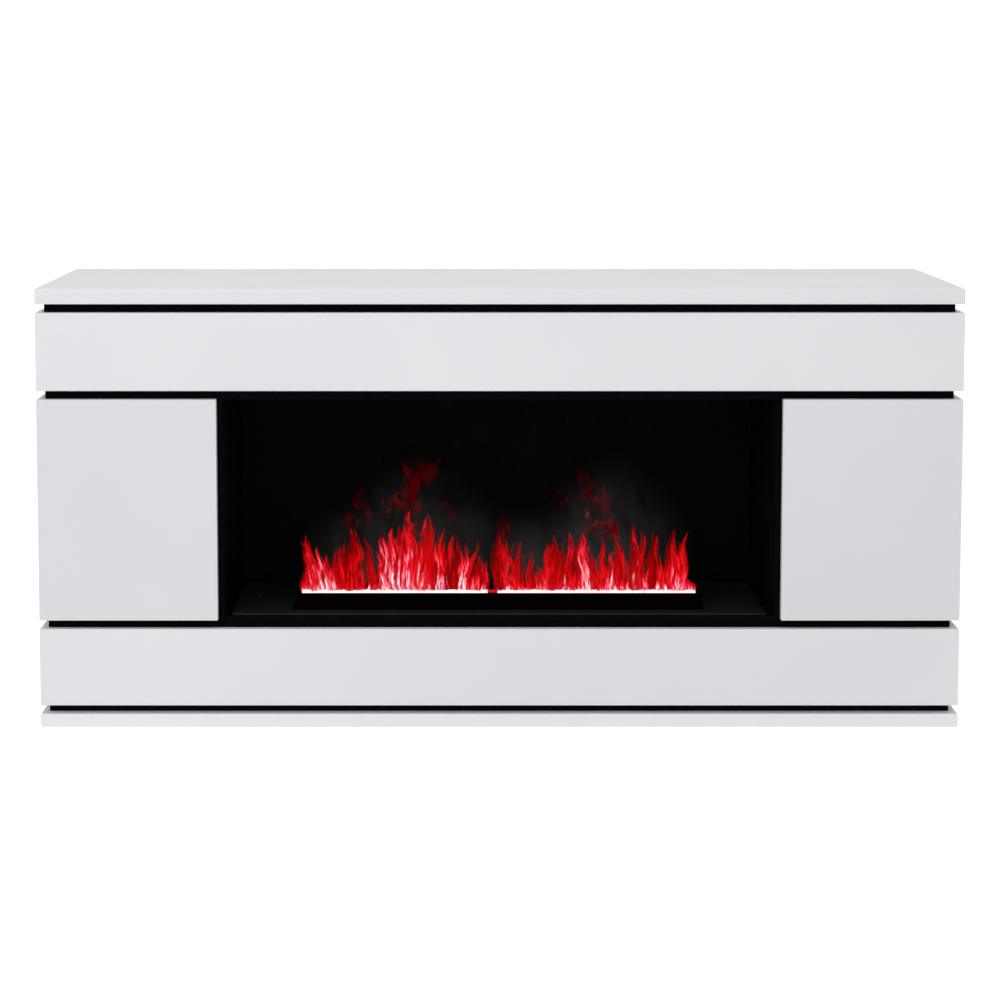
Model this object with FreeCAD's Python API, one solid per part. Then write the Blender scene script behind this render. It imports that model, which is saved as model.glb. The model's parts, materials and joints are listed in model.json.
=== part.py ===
# Fireplace TV stand: white overlay fronts on a black board carcass, with a water mist
# fire cassette let into the floor of the open niche.
# Millimetres. X runs to the right, Y to the back, Z up. The origin is the middle of the underside.
import FreeCAD
import Part
import math
import os

# Overall
overall_width = 1500.0
overall_depth = 400.0
cut_overrun = 1.0
fit_clearance = 0.1

# Slabs, fronts and the shadow gaps between them
top_slab_thickness = 25.0
base_slab_thickness = 22.0
shadow_gap = 14.0
band_height = 127.0
door_height = 363.0
front_thickness = 16.0
front_standoff = 2.5
rear_bevel = 3.0
edge_round = 1.2
cladding_thickness = 12.0
cladding_reveal = 4.0

# Carcass boards
board_thickness = 18.0
hearth_rise = 3.0
ceiling_drop = 2.0
niche_width_share = 0.6
niche_rear_gap = 48.5
niche_back_thickness = 16.0
partition_show = 9.0

# Rear panel
rear_panel_thickness = 4.0
rear_panel_inset = 3.0
vent_slot_length = 60.0
vent_slot_height = 6.0
vent_columns = 4
vent_rows = 5
vent_pitch_x = 72.0
vent_pitch_z = 14.0
vent_center_x = -210.0
inlet_window_width = 80.0
inlet_window_height = 90.0
grommet_bore = 26.0
grommet_wall = 3.0
grommet_rim = 5.0
grommet_rim_thickness = 2.0
grommet_height_share = 0.75

# Shelves
shelf_thickness = 16.0
shelf_rear_gap = 29.5
shelf_setback = 25.0
shelf_end_gap = 1.0
shelf_height_share = 0.47
shelf_pin_radius = 2.5
shelf_pin_length = 18.0
shelf_pin_seat = 9.0
shelf_pin_inset = 45.0

# Dowels and screws
dowel_radius = 4.0
dowel_length = 28.0
dowel_face_depth = 8.0
dowel_depth_shares = (0.15, 0.85)
screw_radius = 1.75
screw_bite = 12.0
screw_head_radius = 3.8
screw_head_height = 2.0
slab_screw_inset = 120.0
slab_screw_columns = 3
cladding_screw_bite = 8.0
cladding_screw_height_shares = (0.15, 0.85)
cladding_screw_depth_shares = (0.25, 0.8)
rear_screw_inset = 120.0
rear_screw_columns = 4
rear_screw_height_shares = (0.12, 0.4, 0.6, 0.88)

# Drawer
drawer_rear_gap = 37.0
drawer_top_gap = 16.0
drawer_board = 14.0
drawer_floor_gap = 9.0
drawer_bottom_thickness = 6.0
drawer_bottom_height = 10.0
drawer_groove = 6.0
stiffener_width = 50.0
stiffener_thickness = 9.0

# Drawer runners, three nested steel members
runner_setback = 3.0
runner_rear_gap = 31.5
runner_height = 45.0
runner_thickness = 12.7
runner_sheet = 1.2
runner_play = 0.3
cabinet_flange_gap = 2.7
middle_web_offset = 3.2
middle_flange_gap = 1.7
drawer_flange_gap = 1.1

# Concealed hinges
cup_radius = 17.5
cup_depth = 12.0
cup_wall = 1.0
cup_arm_gap = 3.5
cup_plate_thickness = 1.0
cup_plate_reach = 30.0
cup_screw_spacing = 48.0
cup_screw_head_height = 1.0
cup_screw_head_radius = 3.2
cup_screw_radius = 1.6
cup_screw_bite = 9.0
hinge_pin_gap = 3.0
hinge_pin_depth = 7.0
hinge_pin_radius = 1.5
hinge_pin_play = 0.05
knuckle_radius = 2.4
knuckle_width = 7.0
lug_play = 0.3
lug_thickness = 2.2
lug_reach = 3.0
arm_thickness = 3.0
door_mount_thickness = 1.5
arm_wide_start = 5.0
arm_wide_width = 14.0
arm_length = 48.0
mount_width = 36.0
mount_screw_spacing = 25.0
mount_screw_setback = 16.0
door_hinge_inset = 70.0
flap_hinge_inset = 45.0

# Magnetic catches and their strike plates
catch_length = 46.0
catch_thickness = 14.0
catch_depth = 38.0
catch_air = 0.3
door_catch_inset = 60.0
strike_length = 40.0
strike_width = 11.0
strike_thickness = 1.8

# Fire cassette tub and cover plate
plate_side_gap = 13.0
plate_depth = 232.0
plate_thickness = 2.0
plate_setback = 5.0
plate_lap = 20.0
tub_floor_gap = 12.0
tub_sheet = 1.5
tub_lip = 18.0
tub_play = 2.0
tub_rear_gap = 6.0
plate_screw_inset_x = 9.0
plate_screw_inset_y = 28.0
plate_screw_radius = 1.6
plate_screw_head_radius = 3.2
plate_screw_head_height = 1.0

# Burner hood
hood_end_gap = 97.0
hood_depth = 82.0
hood_height = 24.0
hood_slope = 7.0
hood_sheet = 1.5
hood_setback = 27.0
hood_seat = 10.0
hood_round = 1.4
slot_bridge = 14.0
slot_bridge_shift = 10.0
slot_margin = 5.5
slot_width = 28.0
slot_setback = 10.0
hood_tab_depth = 6.0
hood_tab_play = 0.3

# Mist trough, transducers and light strips
trough_wall = 2.5
trough_margin = 5.0
trough_top_gap = 0.3
transducer_count = 6
transducer_inset = 70.0
transducer_radius = 14.0
transducer_height = 14.0
transducer_recess = 3.0
transducer_disc_radius = 10.0
transducer_disc_thickness = 1.0
strip_depth = 6.0
strip_height = 10.0
strip_drop = 8.0
strip_end_gap = 5.0
chip_count = 24
chip_inset = 28.5
chip_size = 5.0
chip_thickness = 1.2

# Fans
fan_size = 60.0
fan_depth = 20.0
fan_wall = 2.5
fan_offset = 200.0
fan_height = 84.0
fan_hub_radius = 11.0
fan_hub_plate = 3.0
fan_strut = 3.0
fan_shaft_radius = 2.0
fan_shaft_play = 0.05
fan_rotor_depth = 13.0
fan_rotor_gap = 0.3
fan_tip_gap = 0.8
fan_blade_count = 7
fan_blade_thickness = 1.6
fan_blade_chord = 15.0
fan_blade_pitch = 35.0

# Water tank, filler cap and level float
tank_end_gap = 15.5
tank_width = 290.0
tank_fan_gap = 22.5
tank_height = 106.0
tank_wall = 2.5
tank_base = 0.3
neck_inset = 170.0
neck_radius = 16.0
neck_wall = 2.5
neck_rise = 5.0
neck_hole_gap = 1.0
spout_radius = 6.0
spout_bore = 4.0
spout_inset_x = 40.0
spout_height = 14.0
spout_reach = 2.0
cap_wall = 4.0
cap_play = 0.3
cap_height = 11.0
cap_top = 4.0
cap_grip_width = 7.0
cap_grip_height = 6.0
cap_rib_count = 24
cap_rib_radius = 1.0
float_inset = 60.0
float_rod_radius = 3.0
float_play = 0.08
float_radius = 13.0
float_height = 18.0
float_rest_gap = 0.3

# Control board and power supply
electrics_fan_gap = 16.5
board_supply_gap = 32.0
board_width = 130.0
board_sheet = 1.6
board_rise = 12.0
standoff_radius = 3.0
standoff_inset = 6.0
relay_size = (20.0, 16.0, 15.0)
relay_count = 3
relay_pitch = 26.0
relay_inset = 12.0
chip_block_size = (18.0, 18.0, 2.5)
chip_block_inset_x = 92.0
chip_block_inset_y = 24.0
terminal_size = (100.0, 10.0, 12.0)
terminal_inset = 3.0
supply_inlet_gap = 15.0
supply_width = 124.0
supply_height = 38.0
supply_fin_count = 9
supply_fin_inset = 14.0
supply_fin_width = 4.0
supply_fin_height = 4.0

# Mains inlet module with its rocker switch
inlet_inset = 42.0
inlet_center_height = 62.0
inlet_width = 28.0
inlet_height = 50.0
inlet_depth = 24.0
inlet_flange = 5.0
inlet_flange_thickness = 3.0
socket_width = 22.0
socket_height = 15.0
socket_depth = 16.0
socket_drop = 12.0
socket_pin_width = 2.0
socket_pin_height = 4.0
socket_pin_pitch = 7.0
socket_pin_clear = 3.0
rocker_width = 12.0
rocker_height = 19.0
rocker_thickness = 8.0
rocker_rise = 12.0
rocker_play = 0.4
rocker_pin_radius = 1.3
rocker_pin_reach = 2.0
rocker_pin_play = 0.05
rocker_well_depth = 13.0
rocker_tilt = 8.0
rocker_crease_share = 0.28

# Power button in the cover plate
button_inset = 33.0
button_setback = 128.0
button_radius = 5.0
button_height = 9.0
button_proud = 1.3
button_play = 0.1
button_travel_gap = 1.6
button_cup_wall = 2.0
button_dish_radius = 2.2
button_dish_depth = 0.4

# Places worked out from the sizes
half_width = overall_width / 2
front_y = -overall_depth / 2
back_y = overall_depth / 2
front_back_y = front_y + front_thickness
carcass_front_y = front_back_y + front_standoff
cladding_front_y = front_back_y + cladding_reveal
rear_panel_y = back_y - rear_panel_inset - rear_panel_thickness
carcass_half = half_width - cladding_thickness
inner_half = carcass_half - board_thickness
niche_half = half_width * niche_width_share
partition_half = niche_half + board_thickness

flap_bottom = base_slab_thickness + shadow_gap
flap_top = flap_bottom + band_height
door_bottom = flap_top + shadow_gap
door_top = door_bottom + door_height
band_bottom = door_top + shadow_gap
band_top = band_bottom + band_height
slab_bottom = band_top + shadow_gap
overall_height = slab_bottom + top_slab_thickness

floor_top = base_slab_thickness + board_thickness
hearth_top = door_bottom + hearth_rise
hearth_bottom = hearth_top - board_thickness
ceiling_bottom = door_top - ceiling_drop
ceiling_top = ceiling_bottom + board_thickness
roof_bottom = slab_bottom - board_thickness

plate_half = niche_half - plate_side_gap
plate_front = carcass_front_y + plate_setback
plate_rear = plate_front + plate_depth
plate_bottom = hearth_top + tub_sheet
plate_top = plate_bottom + plate_thickness
tub_half = plate_half - plate_lap
tub_front = plate_front + plate_lap
tub_rear = plate_rear - plate_lap
tub_bottom = floor_top + tub_floor_gap
tub_floor = tub_bottom + tub_sheet
hood_front = plate_front + hood_setback
hood_rear = hood_front + hood_depth
hood_top = plate_top + hood_height
hood_wall_top = hood_top - hood_sheet
hood_wall_inset = hood_slope * (hood_wall_top - plate_top) / hood_height
hood_half = plate_half - hood_end_gap
opening_half = hood_half - hood_seat
opening_front = hood_front + hood_seat
opening_rear = hood_rear - hood_seat
trough_half = opening_half + trough_margin
trough_front = opening_front - trough_margin
trough_rear = opening_rear + trough_margin
trough_top = plate_bottom - trough_top_gap
fan_z = tub_floor + fan_height
fan_rear = trough_rear + fan_depth
fan_bore_radius = fan_size / 2 - fan_wall
tank_left = tub_sheet + tank_end_gap - tub_half
tank_right = tank_left + tank_width
tank_rear = tub_rear - tub_sheet - tub_rear_gap
tank_front = fan_rear + tank_fan_gap
tank_bottom = tub_floor + tank_base
tank_top = tank_bottom + tank_height
tank_mid_y = (tank_front + tank_rear) / 2
neck_center_x = tank_left + neck_inset
float_center_x = tank_left + float_inset
button_x = button_inset - plate_half
button_y = plate_front + button_setback
inlet_center_x = tub_half - inlet_inset
inlet_z = tub_floor + inlet_center_height
rocker_z = inlet_z + rocker_rise
rocker_y = tub_rear + inlet_flange_thickness - rocker_thickness / 2
supply_right = inlet_center_x - inlet_width / 2 - supply_inlet_gap
supply_left = supply_right - supply_width
board_right = supply_left - board_supply_gap
board_left = board_right - board_width
electrics_front = fan_rear + electrics_fan_gap
electrics_rear = tank_rear
bay_x = (inner_half + partition_half) / 2


def vec(point):
    return FreeCAD.Vector(*point)


def block(low, high):
    """Box between its lowest and highest corner."""
    sides = [b - a for a, b in zip(low, high)]
    return Part.makeBox(*sides, vec(low))


def rod(radius, start, end):
    """Round bar from one point to another."""
    axis = vec(end) - vec(start)
    return Part.makeCylinder(radius, axis.Length, vec(start), axis)


def mirrored(shape):
    """The same piece on the other side of the middle."""
    return shape.mirror(vec((0, 0, 0)), vec((1, 0, 0)))


def pair(shape):
    """A piece and its mirror image as two solids."""
    return [shape, mirrored(shape)]


def group(solids):
    return Part.makeCompound(solids)


def spread(count, pitch):
    """Evenly pitched places about zero."""
    return [(i - (count - 1) / 2) * pitch for i in range(count)]


def between(low, high, share):
    return low + (high - low) * share


def spaced(count, half):
    """Evenly spaced places from minus half to plus half."""
    return [between(-half, half, i / (count - 1)) for i in range(count)]


def near(a, b):
    return math.isclose(a, b, abs_tol=1e-6)


def frustum(low_box, high_box, low_z, high_z):
    """Solid between two level rectangles, each given as x0, x1, y0, y1."""
    wires = []
    for (x0, x1, y0, y1), z in ((low_box, low_z), (high_box, high_z)):
        corners = [(x0, y0, z), (x1, y0, z), (x1, y1, z), (x0, y1, z), (x0, y0, z)]
        wires.append(Part.makePolygon([vec(c) for c in corners]))
    return Part.makeLoft(wires, True, True)


# Fasteners: each keeps its solid and the bore that it needs

bores = []
dowels = []
carcass_screws = []
cassette_screws = []


def drilled(shape):
    """Takes every fastener bore that reaches a piece out of it."""
    tools = [b for b in bores if b.BoundBox.intersect(shape.BoundBox)]
    return shape.cut(tools) if tools else shape


def add_dowel(face, direction):
    """Dowel that stands in one board's face and runs on into the next board's edge."""
    step = vec(direction)
    start = vec(face) - step * dowel_face_depth
    end = start + step * dowel_length
    dowels.append(rod(dowel_radius, start, end))
    bores.append(rod(dowel_radius + fit_clearance, start - step * fit_clearance, end + step * fit_clearance))


def screw(seat, direction, length, radius, head_radius, head_height):
    step = vec(direction)
    shank = rod(radius, vec(seat), vec(seat) + step * length)
    head = rod(head_radius, vec(seat) - step * head_height, vec(seat))
    return shank.fuse(head)


def screw_bore(seat, direction, length, radius):
    step = vec(direction)
    start = vec(seat) - step * cut_overrun
    end = vec(seat) + step * (length + fit_clearance)
    return rod(radius + fit_clearance, start, end)


def add_carcass_screw(seat, direction, length):
    carcass_screws.append(screw(seat, direction, length, screw_radius, screw_head_radius, screw_head_height))
    bores.append(screw_bore(seat, direction, length, screw_radius))


def place_dowels():
    """Dowels between the sides and the level boards, and above and below the partitions and ribs."""
    for share in dowel_depth_shares:
        y = between(carcass_front_y, rear_panel_y, share)
        for low in (base_slab_thickness, hearth_bottom, ceiling_bottom, roof_bottom):
            z = low + board_thickness / 2
            for side in (-1, 1):
                add_dowel((side * inner_half, y, z), (-side, 0, 0))
        for side in (-1, 1):
            x = side * (niche_half + partition_half) / 2
            add_dowel((x, y, floor_top), (0, 0, 1))
            add_dowel((x, y, hearth_bottom), (0, 0, -1))
            add_dowel((x, y, hearth_top), (0, 0, 1))
            add_dowel((x, y, ceiling_bottom), (0, 0, -1))


def place_slab_screws():
    """Screws that hold the white slabs from inside, through the roof and bottom boards."""
    for x in spaced(slab_screw_columns, inner_half - slab_screw_inset):
        for share in dowel_depth_shares:
            y = between(carcass_front_y, rear_panel_y, share)
            add_carcass_screw((x, y, roof_bottom), (0, 0, 1), board_thickness + screw_bite)
            add_carcass_screw((x, y, floor_top), (0, 0, -1), board_thickness + screw_bite)


def place_cladding_screws():
    """Screws that hold the claddings from inside, through the carcass sides."""
    for low, high in ((flap_bottom, flap_top), (door_bottom, door_top), (band_bottom, band_top)):
        for height_share in cladding_screw_height_shares:
            z = between(low, high, height_share)
            for depth_share in cladding_screw_depth_shares:
                y = between(cladding_front_y, back_y, depth_share)
                for side in (-1, 1):
                    length = board_thickness + cladding_screw_bite
                    add_carcass_screw((side * inner_half, y, z), (side, 0, 0), length)


def place_rear_screws():
    """Screws round the rear panel, into the rear edges of the boards."""
    seat_y = rear_panel_y + rear_panel_thickness
    length = rear_panel_thickness + screw_bite
    for x in spaced(rear_screw_columns, inner_half - rear_screw_inset):
        for low in (base_slab_thickness, hearth_bottom, ceiling_bottom, roof_bottom):
            add_carcass_screw((x, seat_y, low + board_thickness / 2), (0, -1, 0), length)
    for share in rear_screw_height_shares:
        z = between(base_slab_thickness, slab_bottom, share)
        for side in (-1, 1):
            x = side * (carcass_half + inner_half) / 2
            add_carcass_screw((x, seat_y, z), (0, -1, 0), length)


def place_plate_screws():
    """Corner screws of the cover plate, through the tub's lip into the hearth."""
    length = plate_thickness + tub_sheet + screw_bite
    for side in (-1, 1):
        x = side * (plate_half - plate_screw_inset_x)
        for y in (plate_front + plate_screw_inset_y, plate_rear - plate_screw_inset_y):
            seat = (x, y, plate_top)
            cassette_screws.append(
                screw(seat, (0, 0, -1), length, plate_screw_radius, plate_screw_head_radius,
                      plate_screw_head_height))
            bores.append(screw_bore(seat, (0, 0, -1), length, plate_screw_radius))


# White shell

def slab(low_z, high_z):
    """Full-size slab with eased edges."""
    shape = block((-half_width, front_y, low_z), (half_width, back_y, high_z))
    return drilled(shape.makeFillet(edge_round, shape.Edges))


def front_panel(x0, x1, z0, z1):
    """Overlay front: bevelled round its back for the fingers, eased at the front."""
    shape = block((x0, front_y, z0), (x1, front_back_y, z1))
    back_edges = [e for e in shape.Edges if near(e.BoundBox.YMin, front_back_y)]
    shape = shape.makeChamfer(rear_bevel, back_edges)
    front_edges = [e for e in shape.Edges if near(e.BoundBox.YMin, front_y)]
    return shape.makeFillet(edge_round, front_edges)


def cladding(z0, z1):
    """White panel on the outside of the left carcass side."""
    shape = block((-half_width, cladding_front_y, z0), (-carcass_half, back_y, z1))
    outer = [e for e in shape.Edges if near(e.BoundBox.XMax, -half_width)]
    return drilled(shape.makeFillet(edge_round, outer))


# Black carcass

def level_board(low_z):
    shape = block((-inner_half, carcass_front_y, low_z), (inner_half, rear_panel_y, low_z + board_thickness))
    return drilled(shape)


def hearth_board():
    """Niche floor with the cut-out that the fire cassette drops into."""
    cutout = block((-tub_half - tub_play, tub_front - tub_play, hearth_bottom - cut_overrun),
                   (tub_half + tub_play, tub_rear + tub_play, hearth_top + cut_overrun))
    return level_board(hearth_bottom).cut(cutout)


def side_board(side):
    xs = sorted((side * inner_half, side * carcass_half))
    shape = block((xs[0], carcass_front_y, base_slab_thickness), (xs[1], rear_panel_y, slab_bottom))
    return drilled(shape).cut(shelf_pin_bores())


def upright(z0, z1):
    """Upright board beside the niche, on the left."""
    return block((-partition_half, carcass_front_y, z0), (-niche_half, rear_panel_y, z1))


def niche_partitions():
    return group([drilled(p).cut(shelf_pin_bores()) for p in pair(upright(hearth_top, ceiling_bottom))])


def lower_ribs():
    return group([drilled(r) for r in pair(upright(floor_top, hearth_bottom))])


def niche_back():
    y = rear_panel_y - niche_rear_gap
    return block((-niche_half, y - niche_back_thickness, hearth_top), (niche_half, y, ceiling_bottom))


def grommet_places():
    z = between(hearth_top, ceiling_bottom, grommet_height_share)
    return [(-bay_x, z), (bay_x, z)]


def rear_panel():
    """Thin rear board with vent slots, a window for the mains inlet and two cable holes."""
    y0 = rear_panel_y
    y1 = rear_panel_y + rear_panel_thickness
    shape = block((-carcass_half, y0, base_slab_thickness), (carcass_half, y1, slab_bottom))
    cuts = []
    mid_z = (floor_top + hearth_bottom) / 2
    for dx in spread(vent_columns, vent_pitch_x):
        for dz in spread(vent_rows, vent_pitch_z):
            x = vent_center_x + dx
            z = mid_z + dz
            low = (x - vent_slot_length / 2, y0 - cut_overrun, z - vent_slot_height / 2)
            high = (x + vent_slot_length / 2, y1 + cut_overrun, z + vent_slot_height / 2)
            cuts.append(block(low, high))
    half_w = inlet_window_width / 2
    half_h = inlet_window_height / 2
    cuts.append(block((inlet_center_x - half_w, y0 - cut_overrun, inlet_z - half_h),
                      (inlet_center_x + half_w, y1 + cut_overrun, inlet_z + half_h)))
    for x, z in grommet_places():
        radius = grommet_bore + grommet_wall + fit_clearance
        cuts.append(rod(radius, (x, y0 - cut_overrun, z), (x, y1 + cut_overrun, z)))
    return drilled(shape.cut(cuts))


def cable_grommets():
    """Plastic rings that line the two cable holes."""
    y0 = rear_panel_y
    y1 = rear_panel_y + rear_panel_thickness
    rings = []
    for x, z in grommet_places():
        sleeve = rod(grommet_bore + grommet_wall, (x, y0, z), (x, y1, z))
        rim = rod(grommet_bore + grommet_wall + grommet_rim, (x, y1, z), (x, y1 + grommet_rim_thickness, z))
        bore = rod(grommet_bore, (x, y0 - cut_overrun, z), (x, back_y + cut_overrun, z))
        rings.append(sleeve.fuse(rim).cut(bore))
    return group(rings)


# Shelves

shelf_bottom = between(hearth_top, ceiling_bottom, shelf_height_share)
shelf_front_y = carcass_front_y + shelf_setback
shelf_rear_y = rear_panel_y - shelf_rear_gap


def shelf():
    """Loose shelf of the left cupboard."""
    return block((-inner_half + shelf_end_gap, shelf_front_y, shelf_bottom),
                 (-partition_half - shelf_end_gap, shelf_rear_y, shelf_bottom + shelf_thickness))


def shelf_pin_lines(extra):
    """Start and end of every shelf pin, lengthened at its buried end by extra."""
    lines = []
    z = shelf_bottom - shelf_pin_radius
    for y in (shelf_front_y + shelf_pin_inset, shelf_rear_y - shelf_pin_inset):
        for wall, inward in ((inner_half, -1), (partition_half, 1)):
            buried = wall - inward * (shelf_pin_seat + extra)
            free = wall + inward * (shelf_pin_length - shelf_pin_seat)
            lines.append(((-buried, y, z), (-free, y, z)))
            lines.append(((buried, y, z), (free, y, z)))
    return lines


def shelf_pins():
    return group([rod(shelf_pin_radius, a, b) for a, b in shelf_pin_lines(0)])


def shelf_pin_bores():
    return [rod(shelf_pin_radius + fit_clearance, a, b) for a, b in shelf_pin_lines(fit_clearance)]


# Drawer

box_bottom = ceiling_top + drawer_floor_gap
box_top = roof_bottom - drawer_top_gap
box_front = front_back_y
box_back = rear_panel_y - drawer_rear_gap
box_half = inner_half - runner_thickness
box_inner_half = box_half - drawer_board
runner_z = (box_bottom + box_top) / 2


def drawer_bottom(extra):
    """Drawer bottom, grown by extra on every side for its groove."""
    reach = drawer_groove - fit_clearance + extra
    z = box_bottom + drawer_bottom_height
    top = z + drawer_bottom_thickness + extra
    return block((-box_inner_half - reach, box_front + drawer_board - reach, z),
                 (box_inner_half + reach, box_back - drawer_board + reach, top))


def drawer_sides():
    side = block((-box_half, box_front, box_bottom), (-box_inner_half, box_back, box_top))
    return group([s.cut(drawer_bottom(fit_clearance)) for s in pair(side)])


def drawer_cross_board(y0):
    shape = block((-box_inner_half, y0, box_bottom), (box_inner_half, y0 + drawer_board, box_top))
    return shape.cut(drawer_bottom(fit_clearance))


def drawer_stiffener():
    """Batten under the middle of the wide drawer bottom."""
    z = box_bottom + drawer_bottom_height
    return block((-stiffener_width / 2, box_front + drawer_board, z - stiffener_thickness),
                 (stiffener_width / 2, box_back - drawer_board, z))


def channel(web_at, flange_from, flange_to, height):
    """Steel channel along Y on the left, its places measured inward from the carcass side."""
    y0 = carcass_front_y + runner_setback
    y1 = rear_panel_y - runner_rear_gap
    wall = -inner_half
    z0 = runner_z - height / 2
    z1 = runner_z + height / 2
    web = block((wall + web_at, y0, z0), (wall + web_at + runner_sheet, y1, z1))
    lower = block((wall + flange_from, y0, z0), (wall + flange_to, y1, z0 + runner_sheet))
    upper = block((wall + flange_from, y0, z1 - runner_sheet), (wall + flange_to, y1, z1))
    return web.fuse([lower, upper])


def runner_members():
    """Cabinet, middle and drawer members, each nested in the one before."""
    step = 2 * (runner_sheet + runner_play)
    middle_height = runner_height - step
    cabinet = channel(0, 0, runner_thickness - cabinet_flange_gap, runner_height)
    middle_end = runner_thickness - middle_flange_gap
    middle = channel(middle_web_offset, middle_web_offset, middle_end, middle_height)
    drawer_web = runner_thickness - runner_sheet
    drawer_start = middle_web_offset + runner_sheet + drawer_flange_gap
    drawer = channel(drawer_web, drawer_start, runner_thickness, middle_height - step)
    return [group(pair(m)) for m in (cabinet, middle, drawer)]


# Concealed hinges, drawn at the front's hinge edge: X into the front, Y into the cabinet, Z along the pin

side_face = cladding_thickness + board_thickness
arm_offset = side_face + door_mount_thickness
cup_far = arm_offset + arm_thickness + cup_arm_gap + cup_wall
cup_center = cup_far - cup_radius
cup_edge = cup_center - cup_radius
hinge_pin_edge = cup_edge + cup_wall + hinge_pin_gap


def on_pin(radius, half):
    """Round bar about the pin's line."""
    return rod(radius, (hinge_pin_edge, -hinge_pin_depth, -half), (hinge_pin_edge, -hinge_pin_depth, half))


def hinge_pin():
    return on_pin(hinge_pin_radius, knuckle_width / 2 + lug_play + lug_thickness)


def pin_bore():
    return on_pin(hinge_pin_radius + hinge_pin_play, cup_plate_reach)


def cup_screw_places():
    return [(cup_center, cup_plate_thickness, s * cup_screw_spacing / 2) for s in (-1, 1)]


def hinge_cup():
    """Pressed cup with its fixing plate and the two lugs that turn on the pin."""
    shell = rod(cup_radius, (cup_center, -cup_depth, 0), (cup_center, 0, 0))
    plate = block((cup_edge, 0, -cup_plate_reach), (cup_far, cup_plate_thickness, cup_plate_reach))
    hollow = rod(cup_radius - cup_wall, (cup_center, -cup_depth + cup_wall, 0),
                 (cup_center, cup_plate_thickness + cut_overrun, 0))
    cup = shell.fuse(plate).cut(hollow)
    lug_low = knuckle_width / 2 + lug_play
    lug = block((cup_edge, -cup_depth, lug_low),
                (hinge_pin_edge + lug_reach, -hinge_pin_depth + lug_reach, lug_low + lug_thickness))
    lugs = [lug, lug.mirror(vec((0, 0, 0)), vec((0, 0, 1)))]
    cup = cup.fuse([g.common(shell) for g in lugs]).cut(pin_bore())
    holes = [screw_bore(p, (0, -1, 0), cup_screw_bite, cup_screw_radius) for p in cup_screw_places()]
    return cup.cut(holes)


def cup_screws():
    return [screw(p, (0, -1, 0), cup_screw_bite, cup_screw_radius, cup_screw_head_radius,
                  cup_screw_head_height) for p in cup_screw_places()]


def cup_pocket():
    """What a front loses to one hinge cup and its screws."""
    hole = rod(cup_radius + fit_clearance, (cup_center, -cup_depth - fit_clearance, 0),
               (cup_center, cut_overrun, 0))
    return [hole] + [screw_bore(p, (0, -1, 0), cup_screw_bite, cup_screw_radius) for p in cup_screw_places()]


def hinge_arm():
    """Cranked arm: knuckle round the pin, a crank inside the cup and a leg along the carcass."""
    half = knuckle_width / 2
    low_y = -hinge_pin_depth - arm_thickness / 2
    knuckle = on_pin(knuckle_radius, half)
    crank = block((hinge_pin_edge, low_y, -half), (arm_offset + arm_thickness, low_y + arm_thickness, half))
    leg = block((arm_offset, low_y, -half), (arm_offset + arm_thickness, arm_length, half))
    wide = block((arm_offset, arm_wide_start, -arm_wide_width / 2),
                 (arm_offset + arm_thickness, arm_length, arm_wide_width / 2))
    return knuckle.fuse([crank, leg, wide]).cut(pin_bore())


def hinge_mount(face):
    """Mounting plate between the arm and the carcass face, with its two screws and their bores."""
    plate = block((face, arm_wide_start, -mount_width / 2), (arm_offset, arm_length, mount_width / 2))
    length = arm_offset - face + screw_bite
    seats = [(arm_offset, arm_length - mount_screw_setback, s * mount_screw_spacing / 2) for s in (-1, 1)]
    holes = [screw_bore(p, (-1, 0, 0), length, screw_radius) for p in seats]
    screws = [screw(p, (-1, 0, 0), length, screw_radius, screw_head_radius, screw_head_height) for p in seats]
    return plate.cut(holes), screws, holes


def at_door(shape, z):
    """Moves a hinge piece to the left door's hinge edge."""
    return shape.translated(vec((-half_width, front_back_y, z)))


def at_flap(shape, x):
    """Turns a hinge piece so that it runs up from the flap's lower edge."""
    turned = shape.rotated(vec((0, 0, 0)), vec((0, 1, 0)), -90)
    return turned.translated(vec((x, front_back_y, flap_bottom)))


def hinge_places():
    """Every hinge as a function that puts a piece there, with the front that it carries."""
    places = []
    for z in (door_bottom + door_hinge_inset, door_top - door_hinge_inset):
        places.append(("left", lambda s, z=z: at_door(s, z)))
        places.append(("right", lambda s, z=z: mirrored(at_door(s, z))))
    for side in (-1, 1):
        for x in (partition_half + flap_hinge_inset, inner_half - flap_hinge_inset):
            places.append(("flap", lambda s, x=side * x: at_flap(s, x)))
    return places


def hinge_hardware():
    """All hinges: arms, pins and mounts on the carcass, cups and pockets by front."""
    arms, pins, mounts = [], [], []
    cups = {"left": [], "right": [], "flap": []}
    pockets = {"left": [], "right": [], "flap": []}
    faces = {"left": side_face, "right": side_face, "flap": floor_top - flap_bottom}
    for front, put in hinge_places():
        arms.append(put(hinge_arm()))
        pins.append(put(hinge_pin()))
        plate, screws, holes = hinge_mount(faces[front])
        mounts.append(put(plate))
        carcass_screws.extend(put(s) for s in screws)
        bores.extend(put(h) for h in holes)
        cups[front].extend(put(s) for s in [hinge_cup()] + cup_screws())
        pockets[front].extend(put(s) for s in cup_pocket())
    return arms, pins, mounts, cups, pockets


# Catches and strikes

catch_front_y = front_back_y + strike_thickness + catch_air
door_catch_z = door_top - door_catch_inset


def door_catch():
    """Magnet block on the left partition, inside the cupboard."""
    return block((-partition_half - catch_thickness, catch_front_y, door_catch_z - catch_length / 2),
                 (-partition_half, catch_front_y + catch_depth, door_catch_z + catch_length / 2))


def flap_catch():
    """Magnet block under the hearth, in the left lower bay."""
    return block((-bay_x - catch_length / 2, catch_front_y, hearth_bottom - catch_thickness),
                 (-bay_x + catch_length / 2, catch_front_y + catch_depth, hearth_bottom))


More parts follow.
